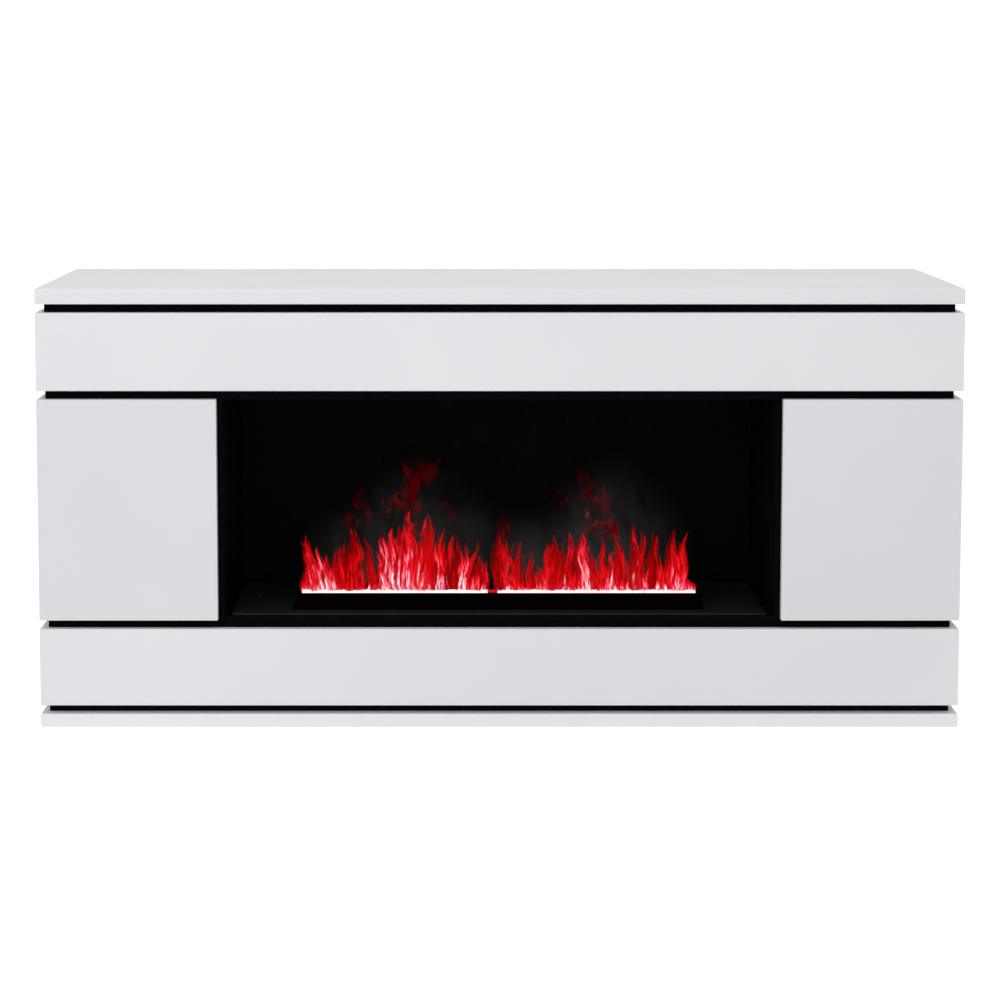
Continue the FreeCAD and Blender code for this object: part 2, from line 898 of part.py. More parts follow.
def strike(center, half_x, half_z):
    x, z = center
    return block((x - half_x, front_back_y, z - half_z),
                 (x + half_x, front_back_y + strike_thickness, z + half_z))


def door_strike():
    x = -partition_half - catch_thickness / 2
    return strike((x, door_catch_z), strike_width / 2, strike_length / 2)


def flap_strike():
    return strike((-bay_x, hearth_bottom - catch_thickness / 2), strike_length / 2, strike_width / 2)


# Fire cassette

def tub_rear_wall():
    """Rear sheet of the tub, in four panels round the inlet."""
    half_w = inlet_width / 2 + fit_clearance
    half_h = inlet_height / 2 + fit_clearance
    x0 = inlet_center_x - half_w
    x1 = inlet_center_x + half_w
    end = tub_half - tub_sheet
    front = tub_rear - tub_sheet
    return [block((-end, front, tub_floor), (x0, tub_rear, plate_bottom)),
            block((x1, front, tub_floor), (end, tub_rear, plate_bottom)),
            block((x0, front, tub_floor), (x1, tub_rear, inlet_z - half_h)),
            block((x0, front, inlet_z + half_h), (x1, tub_rear, plate_bottom))]


def cassette_tub():
    """Tub welded up from flat sheets, which hangs by its lip on the hearth."""
    end = tub_half - tub_sheet
    floor = block((-tub_half, tub_front, tub_bottom), (tub_half, tub_rear, tub_floor))
    side = block((-tub_half, tub_front, tub_floor), (-end, tub_rear, plate_bottom))
    front = block((-end, tub_front, tub_floor), (end, tub_front + tub_sheet, plate_bottom))
    lip_half = tub_half + tub_lip
    front_lip = block((-lip_half, tub_front - tub_lip, hearth_top), (lip_half, tub_front, plate_bottom))
    rear_lip = block((-lip_half, tub_rear, hearth_top), (lip_half, tub_rear + tub_lip, plate_bottom))
    side_lip = block((-lip_half, tub_front, hearth_top), (-tub_half, tub_rear, plate_bottom))
    sheets = [floor, front, front_lip, rear_lip] + pair(side) + pair(side_lip) + tub_rear_wall()
    return group([drilled(s) for s in sheets])


def cover_plate():
    """Dark steel plate on the tub, with the burner opening, filler hole and button cup."""
    shape = block((-plate_half, plate_front, plate_bottom), (plate_half, plate_rear, plate_top))
    top_edges = [e for e in shape.Edges if near(e.BoundBox.ZMin, plate_top)]
    shape = shape.makeFillet(plate_thickness / 2, top_edges)
    opening = block((-opening_half, opening_front, plate_bottom - cut_overrun),
                    (opening_half, opening_rear, plate_top + cut_overrun))
    filler = rod(neck_radius + neck_hole_gap, (neck_center_x, tank_mid_y, plate_bottom - cut_overrun),
                 (neck_center_x, tank_mid_y, plate_top + cut_overrun))
    well = button_radius + button_play
    well_floor = plate_top + button_proud - button_height - button_travel_gap
    cup = rod(well + button_cup_wall, (button_x, button_y, well_floor - button_cup_wall),
              (button_x, button_y, plate_bottom + plate_thickness / 2))
    bore = rod(well, (button_x, button_y, well_floor), (button_x, button_y, plate_top + cut_overrun))
    return drilled(shape.fuse(cup).cut([opening, filler, bore]))


def power_button():
    """Round push button with a small dish in its top."""
    top = plate_top + button_proud
    stem = rod(button_radius, (button_x, button_y, top - button_height), (button_x, button_y, top))
    dish = rod(button_dish_radius, (button_x, button_y, top - button_dish_depth),
               (button_x, button_y, top + cut_overrun))
    return stem.cut(dish)


def hood_rectangle(inset):
    """Level outline of the hood, drawn in by inset on all four sides."""
    half = hood_half - inset
    return (-half, half, hood_front + inset, hood_rear - inset)


def hood_walls():
    """The four sloping sheets of the hood: front, rear and two ends."""
    low = hood_rectangle(0)
    high = hood_rectangle(hood_wall_inset)
    front_strips = [(x0, x1, y0, y0 + hood_sheet) for x0, x1, y0, y1 in (low, high)]
    rear_strips = [(x0, x1, y1 - hood_sheet, y1) for x0, x1, y0, y1 in (low, high)]
    end_strips = [(x0, x0 + hood_sheet, y0 + hood_sheet, y1 - hood_sheet) for x0, x1, y0, y1 in (low, high)]
    front, rear, end = [frustum(*strips, plate_top, hood_wall_top)
                        for strips in (front_strips, rear_strips, end_strips)]
    return [front, rear] + pair(end)


def hood_lid():
    """Top sheet of the hood in five strips, which leave two mist slots and a bridge left of the middle."""
    lid = frustum(hood_rectangle(hood_wall_inset), hood_rectangle(hood_slope), hood_wall_top, hood_top)
    top_edges = [e for e in lid.Edges if near(e.BoundBox.ZMin, hood_top)]
    lid = lid.makeFillet(hood_round, top_edges)
    slot_front = hood_front + hood_slope + slot_setback
    slot_rear = slot_front + slot_width
    slot_end = hood_half - hood_slope - slot_margin
    bridge_left = -slot_bridge_shift - slot_bridge / 2
    bridge_right = bridge_left + slot_bridge
    strips = [(-hood_half, hood_half, hood_front, slot_front), (-hood_half, hood_half, slot_rear, hood_rear),
              (-hood_half, -slot_end, slot_front, slot_rear), (slot_end, hood_half, slot_front, slot_rear),
              (bridge_left, bridge_right, slot_front, slot_rear)]
    return [lid.common(block((x0, y0, hood_wall_top), (x1, y1, hood_top))) for x0, x1, y0, y1 in strips]


def burner_hood():
    """Tapered hood welded up from sheets, with a locating tab at each end that drops into the opening."""
    tab_x = opening_half - hood_tab_play
    tab = block((-tab_x, opening_front + hood_tab_play, plate_top - hood_tab_depth),
                (-tab_x + hood_sheet, opening_rear - hood_tab_play, hood_wall_top))
    return group(hood_walls() + hood_lid() + pair(tab))


def spout_line(start_y, end_y):
    x = tank_right - spout_inset_x
    z = tank_bottom + spout_height
    return (x, start_y, z), (x, end_y, z)


def mist_trough():
    """Open plastic trough under the burner, with two fan ports and the water feed in its back."""
    shape = block((-trough_half, trough_front, tub_floor), (trough_half, trough_rear, trough_top))
    hollow = block((-trough_half + trough_wall, trough_front + trough_wall, tub_floor + trough_wall),
                   (trough_half - trough_wall, trough_rear - trough_wall, trough_top + cut_overrun))
    ports = [rod(fan_bore_radius, (s * fan_offset, trough_rear - trough_wall - cut_overrun, fan_z),
                 (s * fan_offset, trough_rear + cut_overrun, fan_z)) for s in (-1, 1)]
    feed_ends = spout_line(trough_rear - trough_wall - cut_overrun, trough_rear + cut_overrun)
    feed = rod(spout_radius + fit_clearance, *feed_ends)
    return shape.cut([hollow, feed] + ports)


def transducers():
    """Ultrasonic mist makers on the trough's floor, each a ring with a disc in it."""
    z0 = tub_floor + trough_wall
    z1 = z0 + transducer_height
    y = (trough_front + trough_rear) / 2
    solids = []
    for x in spaced(transducer_count, trough_half - transducer_inset):
        ring = rod(transducer_radius, (x, y, z0), (x, y, z1))
        ring = ring.cut(rod(transducer_disc_radius, (x, y, z1 - transducer_recess), (x, y, z1 + cut_overrun)))
        seat = z1 - transducer_recess
        solids.append(ring)
        solids.append(rod(transducer_disc_radius - fit_clearance, (x, y, seat),
                          (x, y, seat + transducer_disc_thickness)))
    return group(solids)


def light_strips():
    """Two bars of light chips under the burner opening, one on each long wall of the trough."""
    z1 = trough_top - strip_drop
    half = trough_half - trough_wall - strip_end_gap
    front = trough_front + trough_wall
    rear = trough_rear - trough_wall
    solids = []
    for y0 in (front, rear - strip_depth):
        solids.append(block((-half, y0, z1 - strip_height), (half, y0 + strip_depth, z1)))
        for x in spaced(chip_count, half - chip_inset):
            y = y0 + strip_depth / 2
            solids.append(block((x - chip_size / 2, y - chip_size / 2, z1),
                                (x + chip_size / 2, y + chip_size / 2, z1 + chip_thickness)))
    return group(solids)


# Fans, drawn with the axle along Z from the intake side at zero

def fan_frame():
    """Square frame with a round duct, and a hub on four struts that carries the axle."""
    half = fan_size / 2
    shape = block((-half, -half, 0), (half, half, fan_depth))
    shape = shape.cut(rod(fan_bore_radius, (0, 0, -cut_overrun), (0, 0, fan_depth + cut_overrun)))
    hub = rod(fan_hub_radius, (0, 0, 0), (0, 0, fan_hub_plate))
    struts = [block((-half, -fan_strut / 2, 0), (half, fan_strut / 2, fan_hub_plate)),
              block((-fan_strut / 2, -half, 0), (fan_strut / 2, half, fan_hub_plate))]
    axle = rod(fan_shaft_radius, (0, 0, 0), (0, 0, fan_hub_plate + fan_rotor_gap + fan_rotor_depth))
    return shape.fuse([hub, axle] + struts)


def fan_rotor():
    """Hub and pitched blades, bored to run on the axle."""
    low = fan_hub_plate + fan_rotor_gap
    mid = low + fan_rotor_depth / 2
    hub = rod(fan_hub_radius, (0, 0, low), (0, 0, low + fan_rotor_depth))
    tip = fan_bore_radius - fan_tip_gap
    limit = rod(tip, (0, 0, low), (0, 0, low + fan_rotor_depth))
    blades = []
    for i in range(fan_blade_count):
        blade = block((0, -fan_blade_chord / 2, -fan_blade_thickness / 2),
                      (fan_bore_radius, fan_blade_chord / 2, fan_blade_thickness / 2))
        blade = blade.rotated(vec((0, 0, 0)), vec((1, 0, 0)), fan_blade_pitch)
        blade = blade.translated(vec((0, 0, mid))).common(limit)
        blades.append(blade.rotated(vec((0, 0, 0)), vec((0, 0, 1)), i * 360 / fan_blade_count))
    bore = rod(fan_shaft_radius + fan_shaft_play, (0, 0, 0), (0, 0, fan_depth))
    return hub.fuse(blades).cut(bore)


def at_fan(shape, side):
    """Stands a fan against the trough's back, its duct on the port."""
    turned = shape.rotated(vec((0, 0, 0)), vec((1, 0, 0)), 90)
    return turned.translated(vec((side * fan_offset, trough_rear + fan_depth, fan_z)))


# Water

def water_tank():
    """Hollow tank with a filler neck, a spout to the trough and the float's guide rod."""
    shape = block((tank_left, tank_front, tank_bottom), (tank_right, tank_rear, tank_top))
    neck_top = plate_top + neck_rise
    neck_at = (neck_center_x, tank_mid_y)
    neck = rod(neck_radius, (*neck_at, tank_top), (*neck_at, neck_top))
    spout = rod(spout_radius, *spout_line(tank_front, trough_rear - trough_wall - spout_reach))
    hollow = block((tank_left + tank_wall, tank_front + tank_wall, tank_bottom + tank_wall),
                   (tank_right - tank_wall, tank_rear - tank_wall, tank_top - tank_wall))
    neck_bore = rod(neck_radius - neck_wall, (*neck_at, tank_top - tank_wall - cut_overrun),
                    (*neck_at, neck_top + cut_overrun))
    spout_hole = rod(spout_bore, *spout_line(tank_front + tank_wall + cut_overrun,
                                             trough_rear - trough_wall - spout_reach - cut_overrun))
    guide = rod(float_rod_radius, (float_center_x, tank_mid_y, tank_bottom + tank_wall / 2),
                (float_center_x, tank_mid_y, tank_top - tank_wall / 2))
    return shape.fuse([neck, spout]).cut([hollow, neck_bore, spout_hole]).fuse(guide)


def filler_cap():
    """Ribbed push-on cap over the neck, with a finger bar."""
    x, y = neck_center_x, tank_mid_y
    radius = neck_radius + cap_wall
    low = plate_top
    top = low + cap_height
    body = rod(radius, (x, y, low), (x, y, top))
    recess = rod(neck_radius + cap_play, (x, y, low - cut_overrun), (x, y, top - cap_top))
    bar = block((x - radius, y - cap_grip_width / 2, top),
                (x + radius, y + cap_grip_width / 2, top + cap_grip_height))
    bar = bar.common(rod(radius, (x, y, top), (x, y, top + cap_grip_height)))
    ribs = []
    for i in range(cap_rib_count):
        turn = 2 * math.pi * i / cap_rib_count
        rx = x + radius * math.cos(turn)
        ry = y + radius * math.sin(turn)
        ribs.append(rod(cap_rib_radius, (rx, ry, low), (rx, ry, top)))
    return body.fuse(ribs + [bar]).cut(recess)


def level_float():
    """Ring that rides up and down the guide rod with the water."""
    low = tank_bottom + tank_wall + float_rest_gap
    at = (float_center_x, tank_mid_y)
    top = low + float_height
    ring = rod(float_radius, (*at, low), (*at, top))
    return ring.cut(rod(float_rod_radius + float_play, (*at, low - cut_overrun), (*at, top + cut_overrun)))


# Electrics

def on_board(size, x, y):
    """Part that stands on the control board."""
    z = tub_floor + board_rise + board_sheet
    return block((x, y, z), (x + size[0], y + size[1], z + size[2]))


def control_board():
    """Circuit board on four standoffs, with relays, a processor and a terminal row."""
    y0 = electrics_front
    y1 = electrics_rear
    z = tub_floor + board_rise
    sheet = block((board_left, y0, z), (board_right, y1, z + board_sheet))
    standoffs = [rod(standoff_radius, (x, y, tub_floor), (x, y, z))
                 for x in (board_left + standoff_inset, board_right - standoff_inset)
                 for y in (y0 + standoff_inset, y1 - standoff_inset)]
    relays = [on_board(relay_size, board_left + relay_inset + i * relay_pitch, y0 + relay_inset)
              for i in range(relay_count)]
    processor = on_board(chip_block_size, board_left + chip_block_inset_x, y0 + chip_block_inset_y)
    terminal_y = y1 - terminal_inset - terminal_size[1]
    terminals = on_board(terminal_size, board_left + relay_inset, terminal_y)
    return sheet.fuse(standoffs + relays + [processor, terminals])


def power_supply():
    """Metal-cased power supply with cooling fins on its lid."""
    top = tub_floor + supply_height
    case = block((supply_left, electrics_front, tub_floor), (supply_right, electrics_rear, top))
    mid = (supply_left + supply_right) / 2
    fins = [block((mid + dx - supply_fin_width / 2, electrics_front, top),
                  (mid + dx + supply_fin_width / 2, electrics_rear, top + supply_fin_height))
            for dx in spaced(supply_fin_count, supply_width / 2 - supply_fin_inset)]
    return case.fuse(fins)


def mains_inlet():
    """Inlet module in the tub's back: a flange, a socket with three pins and a well for the rocker."""
    x = inlet_center_x
    face = tub_rear + inlet_flange_thickness
    body = block((x - inlet_width / 2, tub_rear - inlet_depth, inlet_z - inlet_height / 2),
                 (x + inlet_width / 2, tub_rear, inlet_z + inlet_height / 2))
    flange = block((x - inlet_width / 2 - inlet_flange, tub_rear, inlet_z - inlet_height / 2 - inlet_flange),
                   (x + inlet_width / 2 + inlet_flange, face, inlet_z + inlet_height / 2 + inlet_flange))
    socket_z = inlet_z - socket_drop
    socket = block((x - socket_width / 2, face - socket_depth, socket_z - socket_height / 2),
                   (x + socket_width / 2, face + cut_overrun, socket_z + socket_height / 2))
    pins = [block((x + dx - socket_pin_width / 2, face - socket_depth, socket_z - socket_pin_height / 2),
                  (x + dx + socket_pin_width / 2, face - socket_pin_clear, socket_z + socket_pin_height / 2))
            for dx in (-socket_pin_pitch, 0, socket_pin_pitch)]
    well_w = rocker_width / 2 + rocker_play
    well_h = rocker_height / 2 + rocker_play
    well = block((x - well_w, face - rocker_well_depth, rocker_z - well_h),
                 (x + well_w, face + cut_overrun, rocker_z + well_h))
    reach = well_w + rocker_pin_reach
    pin_hole = rod(rocker_pin_radius + rocker_pin_play, (x - reach, rocker_y, rocker_z),
                   (x + reach, rocker_y, rocker_z))
    return body.fuse(flange).cut([socket, well, pin_hole]).fuse(pins)


def switch_rocker():
    """Two-sided rocker on its pivot pin, tipped to its upper side."""
    x = inlet_center_x
    half_w = rocker_width / 2
    half_h = rocker_height / 2
    back = rocker_y - rocker_thickness / 2
    face = rocker_y + rocker_thickness / 2
    crease = between(face, back, rocker_crease_share)
    outline = [(x - half_w, back, rocker_z - half_h), (x - half_w, face, rocker_z - half_h),
               (x - half_w, crease, rocker_z), (x - half_w, face, rocker_z + half_h),
               (x - half_w, back, rocker_z + half_h), (x - half_w, back, rocker_z - half_h)]
    body = Part.Face(Part.makePolygon([vec(p) for p in outline])).extrude(vec((rocker_width, 0, 0)))
    sweep = math.hypot(half_h, rocker_thickness / 2) - rocker_play
    corner = rod(sweep, (x - half_w, rocker_y, rocker_z), (x + half_w, rocker_y, rocker_z))
    reach = half_w + rocker_play + rocker_pin_reach - fit_clearance
    pin = rod(rocker_pin_radius, (x - reach, rocker_y, rocker_z), (x + reach, rocker_y, rocker_z))
    shape = body.common(corner).fuse(pin)
    return shape.rotated(vec((x, rocker_y, rocker_z)), vec((1, 0, 0)), -rocker_tilt)


def build():
    """All pieces by name."""
    place_dowels()
    place_slab_screws()
    place_cladding_screws()
    place_rear_screws()
    place_plate_screws()
    arms, pins, mounts, cups, pockets = hinge_hardware()
    cabinet, middle, drawer = runner_members()
    door_inner = niche_half + partition_show
    left_door = front_panel(-half_width, -door_inner, door_bottom, door_top).cut(pockets["left"])
    right_door = front_panel(door_inner, half_width, door_bottom, door_top).cut(pockets["right"])
    flap = front_panel(-half_width, half_width, flap_bottom, flap_top).cut(pockets["flap"])
    return {
        "top_slab": slab(slab_bottom, overall_height),
        "base_slab": slab(0, base_slab_thickness),
        "upper_claddings": group(pair(cladding(band_bottom, band_top))),
        "middle_claddings": group(pair(cladding(door_bottom, door_top))),
        "lower_claddings": group(pair(cladding(flap_bottom, flap_top))),
        "left_door": left_door,
        "right_door": right_door,
        "drawer_front": front_panel(-half_width, half_width, band_bottom, band_top),
        "service_flap": flap,
        "bottom_board": level_board(base_slab_thickness),
        "hearth_board": hearth_board(),
        "niche_ceiling": level_board(ceiling_bottom),
        "roof_board": level_board(roof_bottom),
        "left_side_board": side_board(-1),
        "right_side_board": side_board(1),
        "niche_partitions": niche_partitions(),
        "lower_ribs": lower_ribs(),
        "niche_back": niche_back(),
        "rear_panel": rear_panel(),
        "cable_grommets": cable_grommets(),
        "shelves": group(pair(shelf())),
        "shelf_pins": shelf_pins(),
        "drawer_sides": drawer_sides(),
        "drawer_inner_front": drawer_cross_board(box_front),
        "drawer_back": drawer_cross_board(box_back - drawer_board),
        "drawer_bottom": drawer_bottom(0),
        "drawer_stiffener": drawer_stiffener(),
        "runner_cabinet_members": cabinet,
        "runner_middle_members": middle,
        "runner_drawer_members": drawer,
        "hinge_arms": group(arms),
        "hinge_pins": group(pins),
        "hinge_mounts": group(mounts),
        "left_hinge_cups": group(cups["left"]),
        "right_hinge_cups": group(cups["right"]),
        "flap_hinge_cups": group(cups["flap"]),
        "catch_magnets": group(pair(door_catch()) + pair(flap_catch())),
        "left_strike": door_strike(),
        "right_strike": mirrored(door_strike()),
        "flap_strikes": group(pair(flap_strike())),
        "dowels": group(dowels),
        "carcass_screws": group(carcass_screws),
        "cassette_tub": cassette_tub(),
        "cover_plate": cover_plate(),
        "cassette_screws": group(cassette_screws),
        "burner_hood": burner_hood(),
        "mist_trough": mist_trough(),
        "transducers": transducers(),
        "light_strips": light_strips(),
        "fan_frames": group([at_fan(fan_frame(), s) for s in (-1, 1)]),
        "left_fan_rotor": at_fan(fan_rotor(), -1),
        "right_fan_rotor": at_fan(fan_rotor(), 1),
        "water_tank": water_tank(),
        "filler_cap": filler_cap(),
        "level_float": level_float(),
        "control_board": control_board(),
        "power_supply": power_supply(),
        "mains_inlet": mains_inlet(),
        "switch_rocker": switch_rocker(),
        "power_button": power_button(),
    }


os.makedirs("parts", exist_ok=True)
for node, shape in build().items():
    shape.exportStep("parts/" + node + ".step")
    state = "valid" if shape.isValid() else "not valid"
    print(node, len(shape.Solids), "solids", round(shape.Volume), "mm3", state)
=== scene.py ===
# %% [markdown]
# # A white fireplace TV stand
# The cabinet is a measured solid model: every board, hinge, runner and screw is already in its place.
# This lesson gives each surface its finish, adds the lit water mist that plays the part of a fire, and
# sets up a plain studio picture. Nothing in the cabinet is moved or resized here.

# %% Load the cabinet
import json
import math

import bpy
import numpy as np
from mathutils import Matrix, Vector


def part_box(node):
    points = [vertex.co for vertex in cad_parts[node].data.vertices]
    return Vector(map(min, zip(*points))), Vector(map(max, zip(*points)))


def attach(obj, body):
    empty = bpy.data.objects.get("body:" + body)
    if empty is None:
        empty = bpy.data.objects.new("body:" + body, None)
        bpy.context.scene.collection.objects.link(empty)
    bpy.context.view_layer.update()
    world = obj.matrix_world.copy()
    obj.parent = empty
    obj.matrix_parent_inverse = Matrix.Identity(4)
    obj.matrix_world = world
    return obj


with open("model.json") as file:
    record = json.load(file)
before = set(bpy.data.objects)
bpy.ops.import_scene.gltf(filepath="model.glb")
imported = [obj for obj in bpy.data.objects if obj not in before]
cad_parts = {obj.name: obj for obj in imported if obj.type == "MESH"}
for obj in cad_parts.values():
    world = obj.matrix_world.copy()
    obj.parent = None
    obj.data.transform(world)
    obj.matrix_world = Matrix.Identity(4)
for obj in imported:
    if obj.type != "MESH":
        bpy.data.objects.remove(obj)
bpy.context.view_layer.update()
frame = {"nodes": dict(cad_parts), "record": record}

nodes = frame["nodes"]
openings = {o["name"]: o["box_m"] for o in frame["record"]["physics"]["openings"]}

# %% [markdown]
# ## Tools for finishes
# A finish is a small network of nodes. Writing out every node by hand hides the idea behind the wiring,
# so three helpers do the wiring: one adds a node and fills its sockets, one opens an empty node group,
# and one stretches the place that a pattern reads. A group is worth having when several finishes share
# one effect, because a better effect then reaches all of them at once.

# %% Node helpers
def put(tree, kind, sockets=None, **settings):
    """Adds a node, sets its own settings, and gives each named socket a link or a plain value."""
    made = tree.nodes.new("ShaderNode" + kind)
    for name, value in settings.items():
        setattr(made, name, value)
    for name, value in (sockets or {}).items():
        if isinstance(value, bpy.types.NodeSocket):
            tree.links.new(value, made.inputs[name])
        else:
            made.inputs[name].default_value = value
    return made


def new_group(name, inputs, output):
    """Empty shader group with named inputs and one value output."""
    group = bpy.data.node_groups.new(name, "ShaderNodeTree")
    for label, value in inputs.items():
        kind = "NodeSocketVector" if isinstance(value, tuple) else "NodeSocketFloat"
        group.interface.new_socket(label, in_out="INPUT", socket_type=kind).default_value = value
    group.interface.new_socket(output, in_out="OUTPUT", socket_type="NodeSocketFloat")
    return group, group.nodes.new("NodeGroupInput").outputs, group.nodes.new("NodeGroupOutput").inputs


def stretched_place(group, ins):
    """Object coordinates times the group's stretch, so that a pattern can run along one direction."""
    place = put(group, "TexCoord").outputs["Object"]
    return put(group, "VectorMath", {0: place, 1: ins["Stretch"]}, operation="MULTIPLY").outputs[0]


# %% [markdown]
# ## Effects that finishes share
# Real surfaces are never one colour or one gloss. Four groups cover the whole cabinet: soft patches for
# slow changes of tone and gloss, pressed grain for moulded plastic and powder coat, wood pores for
# faced boards, and fine scratches for handled metal. Each reads Object coordinates, which are metres on
# the cabinet itself, so a scale of 500 means features of about two millimetres.

# %% Shared effects
EVEN = (1.0, 1.0, 1.0)


def soft_patches_group():
    """Noise of the stretched place, its middle part spread from low to high."""
    inputs = {"Scale": 5.0, "Stretch": EVEN, "Low": 0.0, "High": 1.0}
    group, ins, outs = new_group("soft_patches", inputs, "Value")
    place = stretched_place(group, ins)
    noise = put(group, "TexNoise", {"Vector": place, "Scale": ins["Scale"], "Detail": 3.0})
    spread = put(group, "MapRange", {"Value": noise.outputs[0], "From Min": 0.3, "From Max": 0.7,
                                     "To Min": ins["Low"], "To Max": ins["High"]})
    group.links.new(spread.outputs[0], outs["Value"])
    return group


def pressed_grain_group():
    """Rounded cells: distance to the nearest of many scattered points, roughened by noise."""
    group, ins, outs = new_group("pressed_grain", {"Scale": 900.0, "Stretch": EVEN}, "Height")
    place = stretched_place(group, ins)
    cells = put(group, "TexVoronoi", {"Vector": place, "Scale": ins["Scale"]}, feature="SMOOTH_F1")
    noise = put(group, "TexNoise", {"Vector": place, "Scale": ins["Scale"], "Detail": 2.0})
    both = put(group, "Math", {0: cells.outputs["Distance"], 1: noise.outputs[0]}, operation="ADD")
    group.links.new(both.outputs[0], outs["Height"])
    return group


def wood_pores_group():
    """Short dark dashes: stretched noise, kept only where it dips under a narrow threshold."""
    group, ins, outs = new_group("wood_pores", {"Scale": 300.0, "Stretch": EVEN}, "Height")
    place = stretched_place(group, ins)
    noise = put(group, "TexNoise", {"Vector": place, "Scale": ins["Scale"], "Detail": 5.0,
                                    "Roughness": 0.6})
    dips = put(group, "MapRange", {"Value": noise.outputs[0], "From Min": 0.36, "From Max": 0.48},
               interpolation_type="SMOOTHSTEP")
    group.links.new(dips.outputs[0], outs["Height"])
    return group


def fine_scratches_group():
    """Thin lines: where a waved band pattern, bent by noise, comes close to its crest."""
    group, ins, outs = new_group("fine_scratches", {"Scale": 40.0, "Stretch": EVEN, "Bend": 9.0}, "Mask")
    waves = put(group, "TexWave", {"Vector": stretched_place(group, ins), "Scale": ins["Scale"],
                                   "Distortion": ins["Bend"], "Detail": 4.0, "Detail Scale": 0.6},
                bands_direction="DIAGONAL")
    lines = put(group, "MapRange", {"Value": waves.outputs["Fac"], "From Min": 0.965, "From Max": 1.0})
    group.links.new(lines.outputs[0], outs["Mask"])
    return group


effects = {made.name: made for made in (soft_patches_group(), pressed_grain_group(), wood_pores_group(),
                                        fine_scratches_group())}
print("shared effects:", ", ".join(effects))

# %% [markdown]
# ## A finish from its parts
# Each of the cabinet's finishes is one Principled shader. What is the same all over is set on the
# shader's own socket. What changes over the surface comes from a shared effect: a colour that drifts
# between two tones, a gloss that drifts between two roughness values, and a relief that a Bump node
# turns into small tilts. A Mix node has sockets of the same name for numbers and for colours, so its
# colour sockets are reached by their place in its list.

# %% Finish helpers
MIX_FIRST = 6
MIX_SECOND = 7
MIX_RESULT = 2


def effect(tree, name, **values):
    """Places a shared effect in a finish and hands back its output."""
    made = tree.nodes.new("ShaderNodeGroup")
    made.node_tree = effects[name]
    for socket, value in values.items():
        made.inputs[socket].default_value = value
    return made.outputs[0]


def blend_colours(tree, factor, first, second):
    """Colour that goes from the first to the second with the factor."""
    sockets = {0: factor, MIX_FIRST: first, MIX_SECOND: second}
    return put(tree, "Mix", sockets, data_type="RGBA").outputs[MIX_RESULT]


def new_finish(name, plain):
    """Empty finish whose constant shader sockets are set by name."""
    material = bpy.data.materials.new(name)
    material.use_nodes = True
    shader = material.node_tree.nodes["Principled BSDF"]
    for socket, value in plain.items():
        shader.inputs[socket].default_value = value
    return material, material.node_tree, shader


def paint(tree, shader, factor, first, second):
    """Base colour that goes from the first to the second with the factor."""
    tree.links.new(blend_colours(tree, factor, first, second), shader.inputs["Base Color"])


def tint(tree, shader, first, second, scale):
    """Base colour that drifts between two tones in soft patches."""
    paint(tree, shader, effect(tree, "soft_patches", Scale=scale), (*first, 1.0), (*second, 1.0))


def gloss(tree, shader, low, high, scale, stretch=EVEN):
    """Roughness that drifts between a low and a high value."""
    value = effect(tree, "soft_patches", Scale=scale, Stretch=stretch, Low=low, High=high)
    tree.links.new(value, shader.inputs["Roughness"])


def relief(tree, shader, height, strength, depth):
    """Small tilts of the surface from a height, at most as deep as depth in metres."""
    made = put(tree, "Bump", {"Height": height, "Strength": strength, "Distance": depth})
    tree.links.new(made.outputs[0], shader.inputs["Normal"])


# %% [markdown]
# ## White lacquer
# The slabs, fronts and side claddings are fibreboard, sprayed white and left with a satin shine. A
# sprayed film shrinks into a very shallow dimple pattern, like the skin of an orange, with a finer dust
# grain on top. A flat white would look like paper, so the finish has both, and a gloss that drifts a
# little. All of it is one lacquer. The doors get a copy a shade darker, as painted shade for the overhead
# light they catch less of, and the base gets a copy a shade lighter, as painted light for the bounce from
# the floor, so one function makes three lacquers.

# %% White lacquer
def white_lacquer(name, light, dark):
    """Sprayed white film: shallow dimples with a finer dust grain on top."""
    material, tree, shader = new_finish(name, {"Specular IOR Level": 0.34})
    tint(tree, shader, light, dark, scale=2.4)
    gloss(tree, shader, low=0.42, high=0.52, scale=7.0)
    dimples = effect(tree, "soft_patches", Scale=230.0)
    dust = effect(tree, "pressed_grain", Scale=1700.0)
    height = put(tree, "Math", {0: dust, 1: 0.18, 2: dimples}, operation="MULTIPLY_ADD").outputs[0]
    relief(tree, shader, height, strength=0.10, depth=0.0003)
    return material


lacquer = white_lacquer("white_lacquer", light=(0.785, 0.775, 0.805), dark=(0.755, 0.745, 0.775))
# Painted shade: the doors' copy of the lacquer is darkened for the overhead light they catch less of.
door_lacquer_painted_shade = white_lacquer("door_lacquer_painted_shade", light=(0.735, 0.728, 0.765), dark=(0.705, 0.698, 0.735))
# Painted light: the base's copy of the lacquer is lightened for the bounce from the floor.
base_lacquer_painted_light = white_lacquer("base_lacquer_painted_light", light=(0.835, 0.826, 0.858), dark=(0.815, 0.806, 0.838))
print("lacquers:", lacquer.name, door_lacquer_painted_shade.name, base_lacquer_painted_light.name)

# %% [markdown]
# ## Black boards
# Behind the white fronts the carcass is chipboard with a black facing, pressed with a wood-pore
# pattern. The pores run along each board, so level boards and upright boards get the same finish with
# its grain stretched along a different direction. The facing is matt, which keeps the niche dark around
# the fire. Boards that no one sees from the front have a cheaper, greyer facing.

# %% Black boards
ALONG_X = (0.12, 1.0, 1.0)
ALONG_Z = (1.0, 1.0, 0.12)
BLACK_FACING = {"light": 0.0027, "dark": 0.0013, "specular": 0.012}
GREY_FACING = {"light": 0.020, "dark": 0.010, "specular": 0.25}


